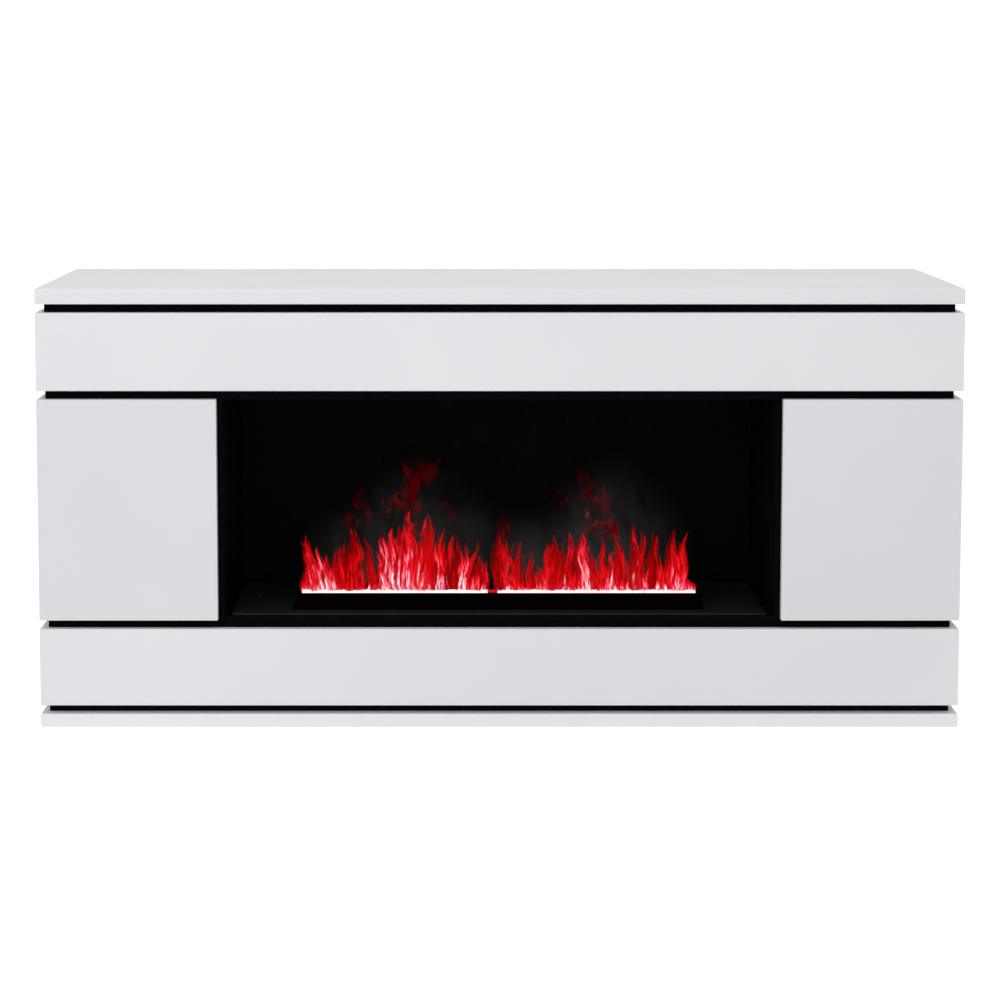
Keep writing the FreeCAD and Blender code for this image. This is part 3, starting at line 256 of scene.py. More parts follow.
def black_board(name, stretch, light, dark, specular):
    """Faced board whose pores run along its stretch."""
    material, tree, shader = new_finish(name, {"Specular IOR Level": specular})
    pores = effect(tree, "wood_pores", Scale=420.0, Stretch=stretch)
    paint(tree, shader, pores, (dark, dark, dark, 1.0), (light, light, light, 1.0))
    gloss(tree, shader, low=0.5, high=0.66, scale=18.0)
    relief(tree, shader, pores, strength=0.35, depth=0.0002)
    return material


black_level = black_board("black_board_level", ALONG_X, **BLACK_FACING)
black_upright = black_board("black_board_upright", ALONG_Z, **BLACK_FACING)
grey_level = black_board("grey_board_level", ALONG_X, **GREY_FACING)
grey_upright = black_board("grey_board_upright", ALONG_Z, **GREY_FACING)
print("boards:", black_level.name, black_upright.name, grey_level.name, grey_upright.name)

# %% [markdown]
# ## Drawer boards
# The drawer box is made from grey faced board with a printed linen weave. Two sets of fine bands at
# right angles, multiplied, give the weave; its threads are about a millimetre apart.

# %% Drawer boards
def drawer_board():
    """Grey board with a printed weave of two crossing bands."""
    material, tree, shader = new_finish("drawer_board", {"Specular IOR Level": 0.3})
    place = put(tree, "TexCoord").outputs["Object"]
    threads = [put(tree, "TexWave", {"Vector": place, "Scale": 320.0, "Distortion": 1.2, "Detail": 2.0},
                   bands_direction=way).outputs["Fac"] for way in ("X", "Z")]
    weave = put(tree, "Math", {0: threads[0], 1: threads[1]}, operation="MULTIPLY").outputs[0]
    paint(tree, shader, weave, (0.245, 0.245, 0.25, 1.0), (0.335, 0.335, 0.345, 1.0))
    gloss(tree, shader, low=0.5, high=0.62, scale=15.0)
    relief(tree, shader, weave, strength=0.2, depth=0.00015)
    return material


linen_board = drawer_board()
print("drawer:", linen_board.name)

# %% [markdown]
# ## Steel and aluminium
# Hinges, runners and screws are zinc-plated steel; the light bars and the power supply's case are
# aluminium. Bare metal shows its making: a drawn direction in the gloss and scratches from handling.

# %% Bare metals
DRAWN_ALONG_X = (0.03, 1.0, 1.0)
DRAWN_ALONG_Y = (1.0, 0.05, 1.0)


def bare_metal(name, first, second, rough, stretch):
    """Metal with a drawn gloss and scratches."""
    material, tree, shader = new_finish(name, {"Metallic": 1.0})
    tint(tree, shader, first, second, scale=60.0)
    gloss(tree, shader, *rough, scale=420.0, stretch=stretch)
    relief(tree, shader, effect(tree, "fine_scratches", Scale=70.0), strength=0.15, depth=0.0001)
    return material


zinc_plate = bare_metal("zinc_plate", (0.60, 0.60, 0.61), (0.50, 0.50, 0.52),
                        rough=(0.26, 0.42), stretch=DRAWN_ALONG_Y)
aluminium = bare_metal("aluminium", (0.62, 0.63, 0.64), (0.55, 0.56, 0.57),
                       rough=(0.25, 0.4), stretch=DRAWN_ALONG_X)
transducer_metal = bare_metal("transducer_metal", (0.62, 0.60, 0.53), (0.5, 0.47, 0.4),
                              rough=(0.2, 0.35), stretch=EVEN)
print("metals:", zinc_plate.name, aluminium.name, transducer_metal.name)

# %% [markdown]
# ## Powder-coated steel
# The cover plate and the tub are steel with a fine powder coat: very dark, a little blue-green, with a
# dry sparkle. The hood over the burner has the same coat, but blacker and duller. Its narrow bridge
# between the two slots gets a painted red glow. This is painted light for the lit mist on both sides of it,
# which the lamps below shine through.

# %% Powder coat
# Depth of the painted red light on the hood's bridge.
BRIDGE_PAINTED_LIGHT_DEPTH = 0.002


def powder_coat(name, first, second, rough, grain, specular):
    """Dry coat with a fine pressed grain."""
    material, tree, shader = new_finish(name, {"Specular IOR Level": specular})
    tint(tree, shader, first, second, scale=25.0)
    gloss(tree, shader, *rough, scale=60.0)
    relief(tree, shader, effect(tree, "pressed_grain", Scale=1300.0), strength=grain, depth=0.0001)
    return material


def place_mask(tree, center, half_size, feather):
    """One inside a box about a centre and zero outside, with a feathered edge.
    The largest of the three scaled distances from the centre is compared with one."""
    place = put(tree, "TexCoord").outputs["Object"]
    offset = put(tree, "VectorMath", {0: place, 1: center}, operation="SUBTRACT").outputs[0]
    share = put(tree, "VectorMath", {0: offset, 1: half_size}, operation="DIVIDE").outputs[0]
    size = put(tree, "VectorMath", {0: share}, operation="ABSOLUTE").outputs[0]
    parts = put(tree, "SeparateXYZ", {0: size}).outputs
    larger = put(tree, "Math", {0: parts[0], 1: parts[1]}, operation="MAXIMUM").outputs[0]
    largest = put(tree, "Math", {0: larger, 1: parts[2]}, operation="MAXIMUM").outputs[0]
    return put(tree, "MapRange", {"Value": largest, "From Min": 1.0, "From Max": 1.0 - feather}).outputs[0]


def add_glow(material, mask, colour, strength):
    """Gives a finish light of one colour where a mask is one, and none where it is zero."""
    tree = material.node_tree
    shader = tree.nodes["Principled BSDF"]
    tree.links.new(blend_colours(tree, mask, (0.0, 0.0, 0.0, 1.0), colour), shader.inputs["Emission Color"])
    shader.inputs["Emission Strength"].default_value = strength


def hood_coat_painted_glow():
    """Blacker coat whose bridge between the slots has a painted red glow, standing in for light from the lit
    mist beside it.
    """
    material = powder_coat("hood_coat_painted_glow", (0.0001, 0.0001, 0.0001), (0.0003, 0.0002, 0.0002),
                           rough=(0.35, 0.5), grain=0.04, specular=0.004)
    left_end, right_end = openings["left_mist_slot"][1][0], openings["right_mist_slot"][0][0]
    slot_low, slot_high = (openings["right_mist_slot"][k][1] for k in (0, 1))
    center = ((left_end + right_end) / 2, (slot_low + slot_high) / 2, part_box("burner_hood")[1].z)
    half_size = ((right_end - left_end) / 2, (slot_high - slot_low) / 2, BRIDGE_PAINTED_LIGHT_DEPTH)
    # Painted light: a red glow on the bridge stands in for the light of the lit mist on both sides of it.
    mask = place_mask(material.node_tree, center, half_size, feather=0.3)
    add_glow(material, mask, (0.62, 0.008, 0.016, 1.0), strength=1.0)
    return material


plate_finish = powder_coat("powder_coat", (0.0086, 0.0110, 0.0122), (0.0110, 0.0146, 0.0156),
                           rough=(0.34, 0.46), grain=0.08, specular=0.1)
hood_finish_painted_glow = hood_coat_painted_glow()
print("powder coats:", plate_finish.name, hood_finish_painted_glow.name)

# %% [markdown]
# ## Plastics, foam and wood
# The moulded parts share one recipe: a colour that hardly drifts and a pressed grain. Beech dowels get
# growth rings.

# %% Moulded parts
def moulded(name, first, second, rough, grain, specular=0.4):
    """Plastic or foam with a pressed grain."""
    material, tree, shader = new_finish(name, {"Specular IOR Level": specular})
    tint(tree, shader, first, second, scale=40.0)
    gloss(tree, shader, *rough, scale=90.0)
    relief(tree, shader, effect(tree, "pressed_grain", Scale=1500.0), strength=grain, depth=0.00012)
    return material


def beech():
    """Wood with growth rings."""
    material, tree, shader = new_finish("beech", {"Specular IOR Level": 0.3})
    place = put(tree, "TexCoord").outputs["Object"]
    rings = put(tree, "TexWave", {"Vector": place, "Scale": 160.0, "Distortion": 3.0, "Detail": 3.0},
                bands_direction="DIAGONAL").outputs["Fac"]
    paint(tree, shader, rings, (0.42, 0.26, 0.14, 1.0), (0.58, 0.40, 0.24, 1.0))
    gloss(tree, shader, low=0.55, high=0.7, scale=80.0)
    relief(tree, shader, rings, strength=0.15, depth=0.0001)
    return material


black_plastic = moulded("black_plastic", (0.014, 0.014, 0.015), (0.022, 0.022, 0.024),
                        rough=(0.45, 0.6), grain=0.25)
tank_plastic = moulded("tank_plastic", (0.60, 0.63, 0.61), (0.68, 0.70, 0.68),
                       rough=(0.32, 0.45), grain=0.05)
float_foam = moulded("float_foam", (0.74, 0.33, 0.07), (0.80, 0.42, 0.12),
                     rough=(0.7, 0.85), grain=0.6, specular=0.2)
rocker_plastic = moulded("button_plastic", (0.008, 0.008, 0.009), (0.012, 0.012, 0.013),
                         rough=(0.15, 0.25), grain=0.03)
dowel_wood = beech()
print("moulded:", black_plastic.name, tank_plastic.name, float_foam.name, rocker_plastic.name)
print("wood:", dowel_wood.name)

# %% [markdown]
# ## Parts with more than one colour
# Some pieces are one solid but show two materials: a circuit board with its relays, a light bar with
# its chips, a button with a bright dot. A mask worked out from the place on the piece switches between
# the two colours, so no extra geometry is needed.

# %% Circuit board, light bars and button
BOARD_LEVEL = 0.0138
CHIP_HEIGHT = 0.0011
DOT_HALF_SIZE = (0.0019, 0.0019, 0.004)


def above(tree, height):
    """One above a level and zero below it."""
    place = put(tree, "TexCoord").outputs["Object"]
    z = put(tree, "SeparateXYZ", {0: place}).outputs[2]
    return put(tree, "Math", {0: z, 1: height}, operation="GREATER_THAN").outputs[0]


def circuit_board():
    """Green board with paler tracks, and dark parts above its level."""
    material, tree, shader = new_finish("circuit_board", {"Specular IOR Level": 0.45})
    board_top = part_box("control_board")[0].z + BOARD_LEVEL
    place = put(tree, "TexCoord").outputs["Object"]
    tracks = put(tree, "TexVoronoi", {"Vector": place, "Scale": 210.0}, feature="DISTANCE_TO_EDGE")
    edge = tracks.outputs["Distance"]
    lines = put(tree, "MapRange", {"Value": edge, "From Min": 0.06, "From Max": 0.1}).outputs[0]
    mask_green = blend_colours(tree, lines, (0.05, 0.26, 0.12, 1.0), (0.012, 0.12, 0.05, 1.0))
    parts = blend_colours(tree, effect(tree, "soft_patches", Scale=45.0), (0.012, 0.012, 0.014, 1.0),
                          (0.02, 0.05, 0.16, 1.0))
    paint(tree, shader, above(tree, board_top), mask_green, parts)
    gloss(tree, shader, low=0.3, high=0.5, scale=60.0)
    relief(tree, shader, lines, strength=0.2, depth=0.0001)
    return material


def light_bar():
    """Drawn metal bar whose chips, at its top, glow."""
    material = bare_metal("light_bar", (0.6, 0.61, 0.62), (0.52, 0.53, 0.54),
                          rough=(0.25, 0.4), stretch=DRAWN_ALONG_X)
    chip_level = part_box("light_strips")[1].z - CHIP_HEIGHT
    add_glow(material, above(material.node_tree, chip_level), (1.0, 0.3, 0.34, 1.0), strength=1.5)
    return material


def button_cap():
    """Glossy black cap with a bright dot in its middle."""
    material, tree, shader = new_finish("button_cap", {"Specular IOR Level": 0.5})
    low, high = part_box("power_button")
    center = ((low.x + high.x) / 2, (low.y + high.y) / 2, high.z)
    dot = place_mask(tree, center, DOT_HALF_SIZE, feather=0.4)
    paint(tree, shader, dot, (0.006, 0.006, 0.007, 1.0), (0.55, 0.56, 0.58, 1.0))
    gloss(tree, shader, low=0.12, high=0.24, scale=300.0)
    relief(tree, shader, effect(tree, "pressed_grain", Scale=2500.0), strength=0.03, depth=0.00005)
    return material


board_finish = circuit_board()
bar_finish = light_bar()
cap_finish = button_cap()
print("two-coloured:", board_finish.name, bar_finish.name, cap_finish.name)

# %% [markdown]
# ## Dress the cabinet
# The record gives every piece a material slot, so one table from slot to finish dresses most pieces. A
# few pieces need a finish of their own, and the upright boards take the upright grain.

# %% Give every piece its finish
finishes = {
    "white_lacquer": lacquer, "black_board": black_level, "drawer_board": linen_board,
    "black_steel": plate_finish, "steel": zinc_plate, "aluminium": aluminium,
    "transducer_metal": transducer_metal, "black_plastic": black_plastic, "tank_plastic": tank_plastic,
    "button_plastic": rocker_plastic, "float_foam": float_foam, "beech": dowel_wood,
    "circuit_board": board_finish,
}
own_finish = {
    "left_side_board": black_upright, "right_side_board": black_upright,
    "niche_partitions": black_upright, "niche_back": black_upright,
    "lower_ribs": grey_upright, "rear_panel": grey_upright, "shelves": grey_level,
    # The doors take the lacquer with painted shade, and the base takes the one with painted light.
    "left_door": door_lacquer_painted_shade, "right_door": door_lacquer_painted_shade, "base_slab": base_lacquer_painted_light,
    # The hood takes the coat with a painted red glow on its bridge.
    "burner_hood": hood_finish_painted_glow, "light_strips": bar_finish, "power_button": cap_finish,
}
for part in frame["record"]["subparts"]:
    mesh = nodes[part["node"]].data
    mesh.materials.clear()
    mesh.materials.append(own_finish.get(part["node"]) or finishes[part["material_slot"]])

# %% [markdown]
# ## The shape of a flame
# The fire is water mist, lit from below. What the eye sees is a crowd of tongues, so one function makes
# them all: a flattened tube whose centre line sways and leans as it rises, and whose width swells a
# little and then runs out to a point. A sheet with a picture of fire on it would be simpler, but it
# would vanish from the side. Every tongue has only a few dozen faces, because there are hundreds of
# them.

# %% Tongue maker
RINGS = 9
AROUND = 6
DEPTH_SWAY_SHARE = 0.35
THICKNESS_SHARE = 0.5


def tongue_faces(count):
    """Quads between the rings of every tongue, and triangles that close both ends onto their pole points."""
    ring = np.arange(AROUND)
    after = (ring + 1) % AROUND
    row = np.arange(RINGS - 1)[:, None] * AROUND
    quads = np.stack([row + ring, row + after, row + AROUND + after, row + AROUND + ring], -1).reshape(-1, 4)
    last = (RINGS - 1) * AROUND
    foot, tip = RINGS * AROUND, RINGS * AROUND + 1
    ends = np.concatenate([np.stack([after, ring, np.full(AROUND, foot)], -1),
                           np.stack([last + ring, last + after, np.full(AROUND, tip)], -1)])
    start = np.arange(count)[:, None, None] * (RINGS * AROUND + 2)
    return (quads + start).reshape(-1, 4).tolist() + (ends + start).reshape(-1, 3).tolist()


def tongues(foot, height, half_width, lean, sway, phase, taper, swell):
    """Points and surface values of many tongues; each argument holds a number, or a foot point, per tongue.
    A ring at share t of the height has its centre at foot plus lean times t, plus sway times t times the
    sine of phase plus one and a half turns of t. In depth it sways about a third as far, with the cosine of
    phase plus one turn of t. Its half width is the given one, times one minus t to the power taper, times
    one plus swell times the sine of half a turn of t. It is an ellipse, half as thick as it is wide."""
    t = np.linspace(0.0, 1.0, RINGS + 1)[None, :-1, None]
    turn = np.arange(AROUND)[None, None, :] * 2 * np.pi / AROUND
    columns = (height, half_width, lean, sway, phase, taper, swell)
    columns = [np.asarray(column, float)[:, None, None] for column in columns]
    height, half_width, lean, sway, phase, taper, swell = columns
    width = half_width * (1 - t) ** taper * (1 + swell * np.sin(np.pi * t))
    middle = lean * t + sway * t * np.sin(phase + 3 * np.pi * t)
    x = foot[:, 0, None, None] + middle + width * np.cos(turn)
    depth = DEPTH_SWAY_SHARE * sway
    behind = depth * t * np.cos(phase + 2 * np.pi * t)
    y = foot[:, 1, None, None] + behind + THICKNESS_SHARE * width * np.sin(turn)
    z = foot[:, 2, None, None] + height * t + 0 * turn
    rings = np.stack(np.broadcast_arrays(x, y, z), -1).reshape(len(foot), -1, 3)
    tip = foot + np.stack([(lean + sway * np.sin(phase + 3 * np.pi))[:, 0, 0],
                           (depth * np.cos(phase))[:, 0, 0], height[:, 0, 0]], -1)
    points = np.concatenate([rings, foot[:, None], tip[:, None]], 1)
    core = np.broadcast_to(np.abs(np.sin(turn)), (len(foot), RINGS, AROUND)).reshape(len(foot), -1)
    rise = np.broadcast_to(t, (len(foot), RINGS, AROUND)).reshape(len(foot), -1)
    ends = np.broadcast_to([[0.0, 1.0]], (len(foot), 2))
    across = (np.cos(turn) * width).reshape(len(foot), -1)
    return (points, np.concatenate([core, 0 * ends + 0.5], 1), np.concatenate([rise, ends], 1),
            np.concatenate([across, 0 * ends], 1))


print("one tongue has", len(tongue_faces(1)), "faces")

# %% [markdown]
# ## Streaks and heat
# Each point of a tongue carries a few numbers on the mesh, such as how far up it lies and how near the
# core. The glow is worked out from these. Streaks come from noise in each tongue's own coordinates, so
# they follow its sway and lean, and a colour ramp turns heat into colour.

# %% Streaks and heat
STREAK_FINENESS = 240.0
STREAK_STRETCH = 0.16
HEAT_STEPS = ((0.0, (0.03, 0.0, 0.0)), (0.2, (0.25, 0.001, 0.001)), (0.42, (0.66, 0.003, 0.005)),
              (0.62, (0.86, 0.014, 0.028)), (0.8, (1.0, 0.24, 0.35)), (1.0, (1.0, 0.90, 0.94)))


def heat_colours(tree, heat):
    """Colour ramp from dark red through red and pink to white."""
    ramp = put(tree, "ValToRGB", {0: heat})
    steps = ramp.color_ramp.elements
    for place, _ in HEAT_STEPS[1:-1]:
        steps.new(place)
    for step, (place, colour) in zip(steps, HEAT_STEPS):
        step.position = place
        step.color = (*colour, 1.0)
    return ramp.outputs[0]


def value_of(tree, name):
    """One of the mesh's own named values."""
    return put(tree, "Attribute", attribute_name=name).outputs["Fac"]


def streaks(tree, fine):
    """Noise that is narrow across a tongue and long up it, different on each tongue."""
    place = put(tree, "CombineXYZ", {0: value_of(tree, "across"), 1: value_of(tree, "seed"),
                                     2: value_of(tree, "up")}).outputs[0]
    finer = (fine, 1.0, STREAK_STRETCH * fine)
    narrow = put(tree, "VectorMath", {0: place, 1: finer}, operation="MULTIPLY").outputs[0]
    return put(tree, "TexNoise", {"Vector": narrow, "Scale": 1.0, "Detail": 3.0,
                                  "Roughness": 0.55}).outputs[0]


def scaled(tree, value, low, high, to_low=0.0, to_high=1.0):
    """Straight map of one range onto another, held at its ends."""
    return put(tree, "MapRange", {"Value": value, "From Min": low, "From Max": high, "To Min": to_low,
                                  "To Max": to_high}).outputs[0]


def times(tree, first, second):
    """Product of two values."""
    return put(tree, "Math", {0: first, 1: second}, operation="MULTIPLY").outputs[0]


print("heat ramp of", len(HEAT_STEPS), "colours")

# %% [markdown]
# ## How lit mist glows
# The mist has no surface to shade, so its finish gives off light of its own. It is white-hot at the
# slots, pink in the cores, pure red in the body and dark red where it thins out. Alpha lets the rims
# and the tips fade. A streak ends where the tongue has risen past its strength, which tears the upper
# end of a broad tongue into several points.

# %% Glow of the mist
TEARING = 0.5


def dark_finish(name, strength):
    """Finish with no colour of its own, only light."""
    return new_finish(name, {"Base Color": (0.0, 0.0, 0.0, 1.0), "Roughness": 1.0, "Specular IOR Level": 0.0,
                             "Emission Strength": strength})


def flame_glow(name, strength, solid, rim_share):
    """Light of the mist. Heat falls with height and towards the rim. Streaks darken it and tear its end."""
    material, tree, shader = dark_finish(name, strength)
    streak = streaks(tree, STREAK_FINENESS)
    lines = scaled(tree, streak, low=0.36, high=0.62)
    rise = value_of(tree, "rise")
    core = value_of(tree, "core")
    cooling = scaled(tree, rise, low=0.0, high=0.85, to_low=1.0, to_high=0.42)
    inner = scaled(tree, core, low=0.0, high=1.0, to_low=0.6)
    lit = times(tree, times(tree, value_of(tree, "warmth"), cooling), inner)
    heat = times(tree, lit, scaled(tree, lines, low=0.0, high=1.0, to_low=0.4, to_high=1.1))
    tree.links.new(heat_colours(tree, heat), shader.inputs["Emission Color"])
    left = put(tree, "Math", {0: streak, 1: times(tree, rise, TEARING)}, operation="SUBTRACT").outputs[0]
    torn = scaled(tree, left, low=-0.05, high=0.25, to_high=solid)
    rim = scaled(tree, core, low=0.0, high=rim_share)
    thin = scaled(tree, lines, low=0.0, high=0.8, to_low=0.1)
    tree.links.new(times(tree, times(tree, rim, torn), thin), shader.inputs["Alpha"])
    return material


tongue_glow = flame_glow("flame_glow", strength=1.1, solid=1.0, rim_share=0.9)
wisp_glow = flame_glow("wisp_glow", strength=0.5, solid=0.16, rim_share=1.0)
print("glows:", tongue_glow.name, wisp_glow.name)

# %% [markdown]
# ## Where the tall tongues stand
# The tall tongues are placed one by one along each slot, because their silhouette is what one remembers of
# the fire. Each row gives a share of the slot's length, a height in metres before a last stretch, a
# warmth, and a lean as a share of the height.

# %% Tall tongues
LEFT_TONGUES = (
    (0.02, 0.036, 1.0, 0.0), (0.085, 0.084, 1.2, -0.24), (0.13, 0.074, 1.35, -0.28),
    (0.165, 0.060, 1.25, -0.15), (0.21, 0.074, 0.9, -0.08), (0.255, 0.082, 0.85, -0.05),
    (0.315, 0.102, 0.85, -0.05), (0.39, 0.082, 0.85, -0.15), (0.45, 0.104, 1.35, -0.05),
    (0.51, 0.104, 1.3, 0.0), (0.55, 0.112, 1.25, 0.0), (0.60, 0.132, 1.15, 0.0),
    (0.635, 0.118, 1.2, 0.05), (0.68, 0.118, 1.0, 0.05), (0.745, 0.092, 1.2, 0.0),
    (0.80, 0.094, 0.95, 0.0), (0.86, 0.086, 1.25, 0.05), (0.93, 0.060, 1.0, 0.05),
    (0.98, 0.052, 1.0, 0.0))
RIGHT_TONGUES = (
    (0.02, 0.094, 0.9, -0.1), (0.06, 0.078, 1.15, 0.0), (0.10, 0.044, 1.0, -0.1),
    (0.165, 0.068, 0.8, 0.0), (0.215, 0.040, 1.1, 0.0), (0.255, 0.078, 1.05, -0.05),
    (0.31, 0.088, 0.95, 0.0), (0.35, 0.095, 1.15, 0.08), (0.385, 0.060, 0.95, 0.0),
    (0.455, 0.094, 1.35, 0.0), (0.52, 0.088, 0.95, -0.08), (0.565, 0.076, 1.3, 0.05),
    (0.605, 0.050, 1.05, 0.0), (0.645, 0.054, 1.0, 0.05), (0.70, 0.108, 1.2, 0.0),
    (0.755, 0.054, 1.1, 0.0), (0.83, 0.094, 0.9, 0.0), (0.865, 0.056, 0.95, 0.0),
    (0.905, 0.096, 1.1, 0.0), (0.95, 0.034, 1.1, 0.0), (0.98, 0.018, 1.2, 0.0))
print("tall tongues:", len(LEFT_TONGUES), "in the left slot and", len(RIGHT_TONGUES), "in the right one")

# %% [markdown]
# ## A crowd about them
# Tall tongues alone would stand like a fence. So each leads a few others, mostly smaller, scattered
# about it, and a dense fringe of short ones stands along the whole slot. The random numbers are seeded,
# so the fire is the same every time.

# %% Followers and fringe
LEADER_STRETCH = 1.06
LEADER_HALF_WIDTH = (0.008, 0.013)
FOLLOWERS = 4
FOLLOWER_SCATTER = 0.0095
FOLLOWER_HEIGHT_SHARE = (0.5, 1.12)
FOLLOWER_WIDTH_SHARE = (0.06, 0.11)
FOLLOWER_WARMTH_SHARE = (0.45, 1.0)
WARMTH_GAIN = 0.82
WARMTH_POWER = 1.5
FRINGE_PITCH = 0.0028
FRINGE_SCATTER = 0.001
FRINGE_HALF_WIDTH = (0.003, 0.0065)
FRINGE_LEAST = 0.005
FRINGE_SPREAD = 0.017
FRINGE_WARMTH = (0.8, 1.7)
FOOT_BELOW = 0.002
END_ROOM = 0.001
FRONT_ROOM = 0.010
REAR_ROOM = 0.004
rng = np.random.default_rng(11)
hood_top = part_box("burner_hood")[1].z


def along_slot(slot, share):
    """Place along X at a share of a slot's length."""
    low, high = openings[slot]
    return low[0] + np.asarray(share, float) * (high[0] - low[0])


def slot_feet(slot, x):
    """Foot points at the given X, scattered over the slot's depth."""
    low, high = openings[slot]
    y = rng.uniform(low[1] + FRONT_ROOM, high[1] - REAR_ROOM, len(x))
    inside = np.clip(x, low[0] + END_ROOM, high[0] - END_ROOM)
    return np.stack([inside, y, np.full(len(x), hood_top - FOOT_BELOW)], -1)


def crowd(slot, leaders):
    """Feet, heights, half widths, warmth and lean of each tall tongue and of its scattered followers."""
    share, height, warmth, lean = np.array(leaders).T
    height = height * LEADER_STRETCH
    count = len(share)
    several = count * FOLLOWERS
    x = along_slot(slot, share)
    x = np.concatenate([x, np.repeat(x, FOLLOWERS) + rng.normal(0.0, FOLLOWER_SCATTER, several)])
    height_share = rng.uniform(*FOLLOWER_HEIGHT_SHARE, several)
    tall = np.concatenate([height, np.repeat(height, FOLLOWERS) * height_share])
    wide = np.concatenate([rng.uniform(*LEADER_HALF_WIDTH, count),
                           tall[count:] * rng.uniform(*FOLLOWER_WIDTH_SHARE, several)])
    warmth_share = rng.uniform(*FOLLOWER_WARMTH_SHARE, several)
    warm = np.concatenate([warmth, np.repeat(warmth, FOLLOWERS) * warmth_share])
    lean = np.concatenate([lean, np.repeat(lean, FOLLOWERS)])
    return slot_feet(slot, x), tall, wide, WARMTH_GAIN * warm ** WARMTH_POWER, lean


def fringe(slot):
    """The same five for a low, white-hot fringe: a dense row of short tongues along the whole slot."""
    low, high = openings[slot]
    count = int((high[0] - low[0]) / FRINGE_PITCH)
    x = np.linspace(low[0], high[0], count) + rng.normal(0.0, FRINGE_SCATTER, count)
    tall = FRINGE_LEAST + FRINGE_SPREAD * rng.uniform(0.0, 1.0, count) ** 2
    foot = slot_feet(slot, x)
    wide = rng.uniform(*FRINGE_HALF_WIDTH, count)
    return foot, tall, wide, rng.uniform(*FRINGE_WARMTH, count), np.zeros(count)


crowds = [crowd("left_mist_slot", LEFT_TONGUES), crowd("right_mist_slot", RIGHT_TONGUES),
          fringe("left_mist_slot"), fringe("right_mist_slot")]
print("tongues in two crowds and two fringes:", [len(feet) for feet, *_ in crowds])

# %% [markdown]
# ## One piece of fire
# All tongues go into one mesh, which the hood carries. Lean, sway, taper and swell differ a little from
# one tongue to the next, and every point gets the numbers that the glow reads.

# %% Flames
LEAN_SCATTER = 0.07
SWAY_SHARE = (0.02, 0.05)
TAPER = (0.3, 0.6)
SWELL = (0.0, 0.5)
SEED_STEP = 3.7


def add_values(mesh, **values):
    """Writes one number per point into named mesh attributes, for the finish to read."""
    for name, value in values.items():
        numbers = np.ravel(value).astype(np.float32)
        mesh.attributes.new(name, "FLOAT", "POINT").data.foreach_set("value", numbers)


def put_in_scene(name, data):
    """New object from a mesh, a lamp or a camera, at the origin of the scene."""
    made = bpy.data.objects.new(name, data)
    bpy.context.scene.collection.objects.link(made)
    return made


def new_piece(name, points, faces, material, body):
    """Mesh object at the origin with its finish, carried by one body of the cabinet."""
    mesh = bpy.data.meshes.new(name)
    mesh.from_pydata(np.reshape(points, (-1, 3)).tolist(), [], faces)
    mesh.materials.append(material)
    mesh.shade_smooth()
    piece = put_in_scene(name, mesh)
    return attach(piece, body)


def add_tongues(name, foot, tall, warm, glow, drifting=False, **shape):
    """One piece from many tongues, with the values that its glow reads. A drifting tongue thins out at
    both ends."""
    points, core, rise, across = tongues(foot, tall, **shape)
    piece = new_piece(name, points, tongue_faces(len(foot)), glow, "burner_hood")
    each = np.ones_like(core)
    fade = np.abs(2 * rise - 1) if drifting else rise
    add_values(piece.data, core=core, rise=fade, across=across, up=rise * tall[:, None],
               warmth=each * warm[:, None], seed=each * np.arange(len(foot))[:, None] * SEED_STEP)
    print(name, len(foot), "tongues,", len(piece.data.polygons), "faces")


def build_flames():
    """All tongues of both slots as one piece."""
    foot, tall, wide, warm, lean = (np.concatenate(part) for part in zip(*crowds))
    count = len(foot)
    add_tongues("flame_tongues", foot, tall, warm, tongue_glow, half_width=wide,
                lean=rng.normal(lean, LEAN_SCATTER) * tall, sway=rng.uniform(*SWAY_SHARE, count) * tall,
                phase=rng.uniform(0.0, 2 * np.pi, count), taper=rng.uniform(*TAPER, count),
                swell=rng.uniform(*SWELL, count))


build_flames()

# %% [markdown]
# ## Torn wisps
# Above the tongues, scraps of mist drift free, dark red and thin. They use the same surface with a
# strong swell, and their light thins out towards both ends. Width, lean and sway are shares of a
# scrap's length; the lean has a mean and a spread. None rises past the wisps' reach, so that the hood
# with its fire can be lifted inside the niche.

# %% Wisps
WISPS = {
    "left_mist_slot": ((0.26, 0.114, 0.026, 0.34), (0.30, 0.152, 0.036, 0.2), (0.35, 0.124, 0.030, 0.3),
                       (0.46, 0.150, 0.024, 0.42), (0.594, 0.120, 0.035, 0.6), (0.573, 0.172, 0.045, 0.38),
                       (0.59, 0.158, 0.050, 0.38), (0.61, 0.192, 0.050, 0.26), (0.64, 0.212, 0.045, 0.18),
                       (0.79, 0.137, 0.020, 0.28)),
    "right_mist_slot": ((0.035, 0.100, 0.050, 0.26), (0.315, 0.150, 0.022, 0.18), (0.43, 0.167, 0.030, 0.26),
                        (0.457, 0.190, 0.036, 0.18), (0.463, 0.115, 0.022, 0.7), (0.505, 0.150, 0.045, 0.3),
                        (0.54, 0.115, 0.045, 0.32), (0.57, 0.100, 0.040, 0.34)),
}
SCRAPS = 5
SCRAP_SCATTER = (0.008, 0.007, 0.010)
SCRAP_LENGTH_SHARE = (0.5, 1.1)
SCRAP_WARMTH_SHARE = (0.7, 1.2)
SCRAP_WIDTH_SHARE = (0.08, 0.18)
SCRAP_LEAN_SHARE = (0.1, 0.25)
SCRAP_SWAY_SHARE = (0.05, 0.2)
SCRAP_TAPER = 0.6
SCRAP_SWELL = 1.4
WISP_REACH = 0.228
slot_middle_y = sum(corner[1] for corner in openings["left_mist_slot"]) / 2


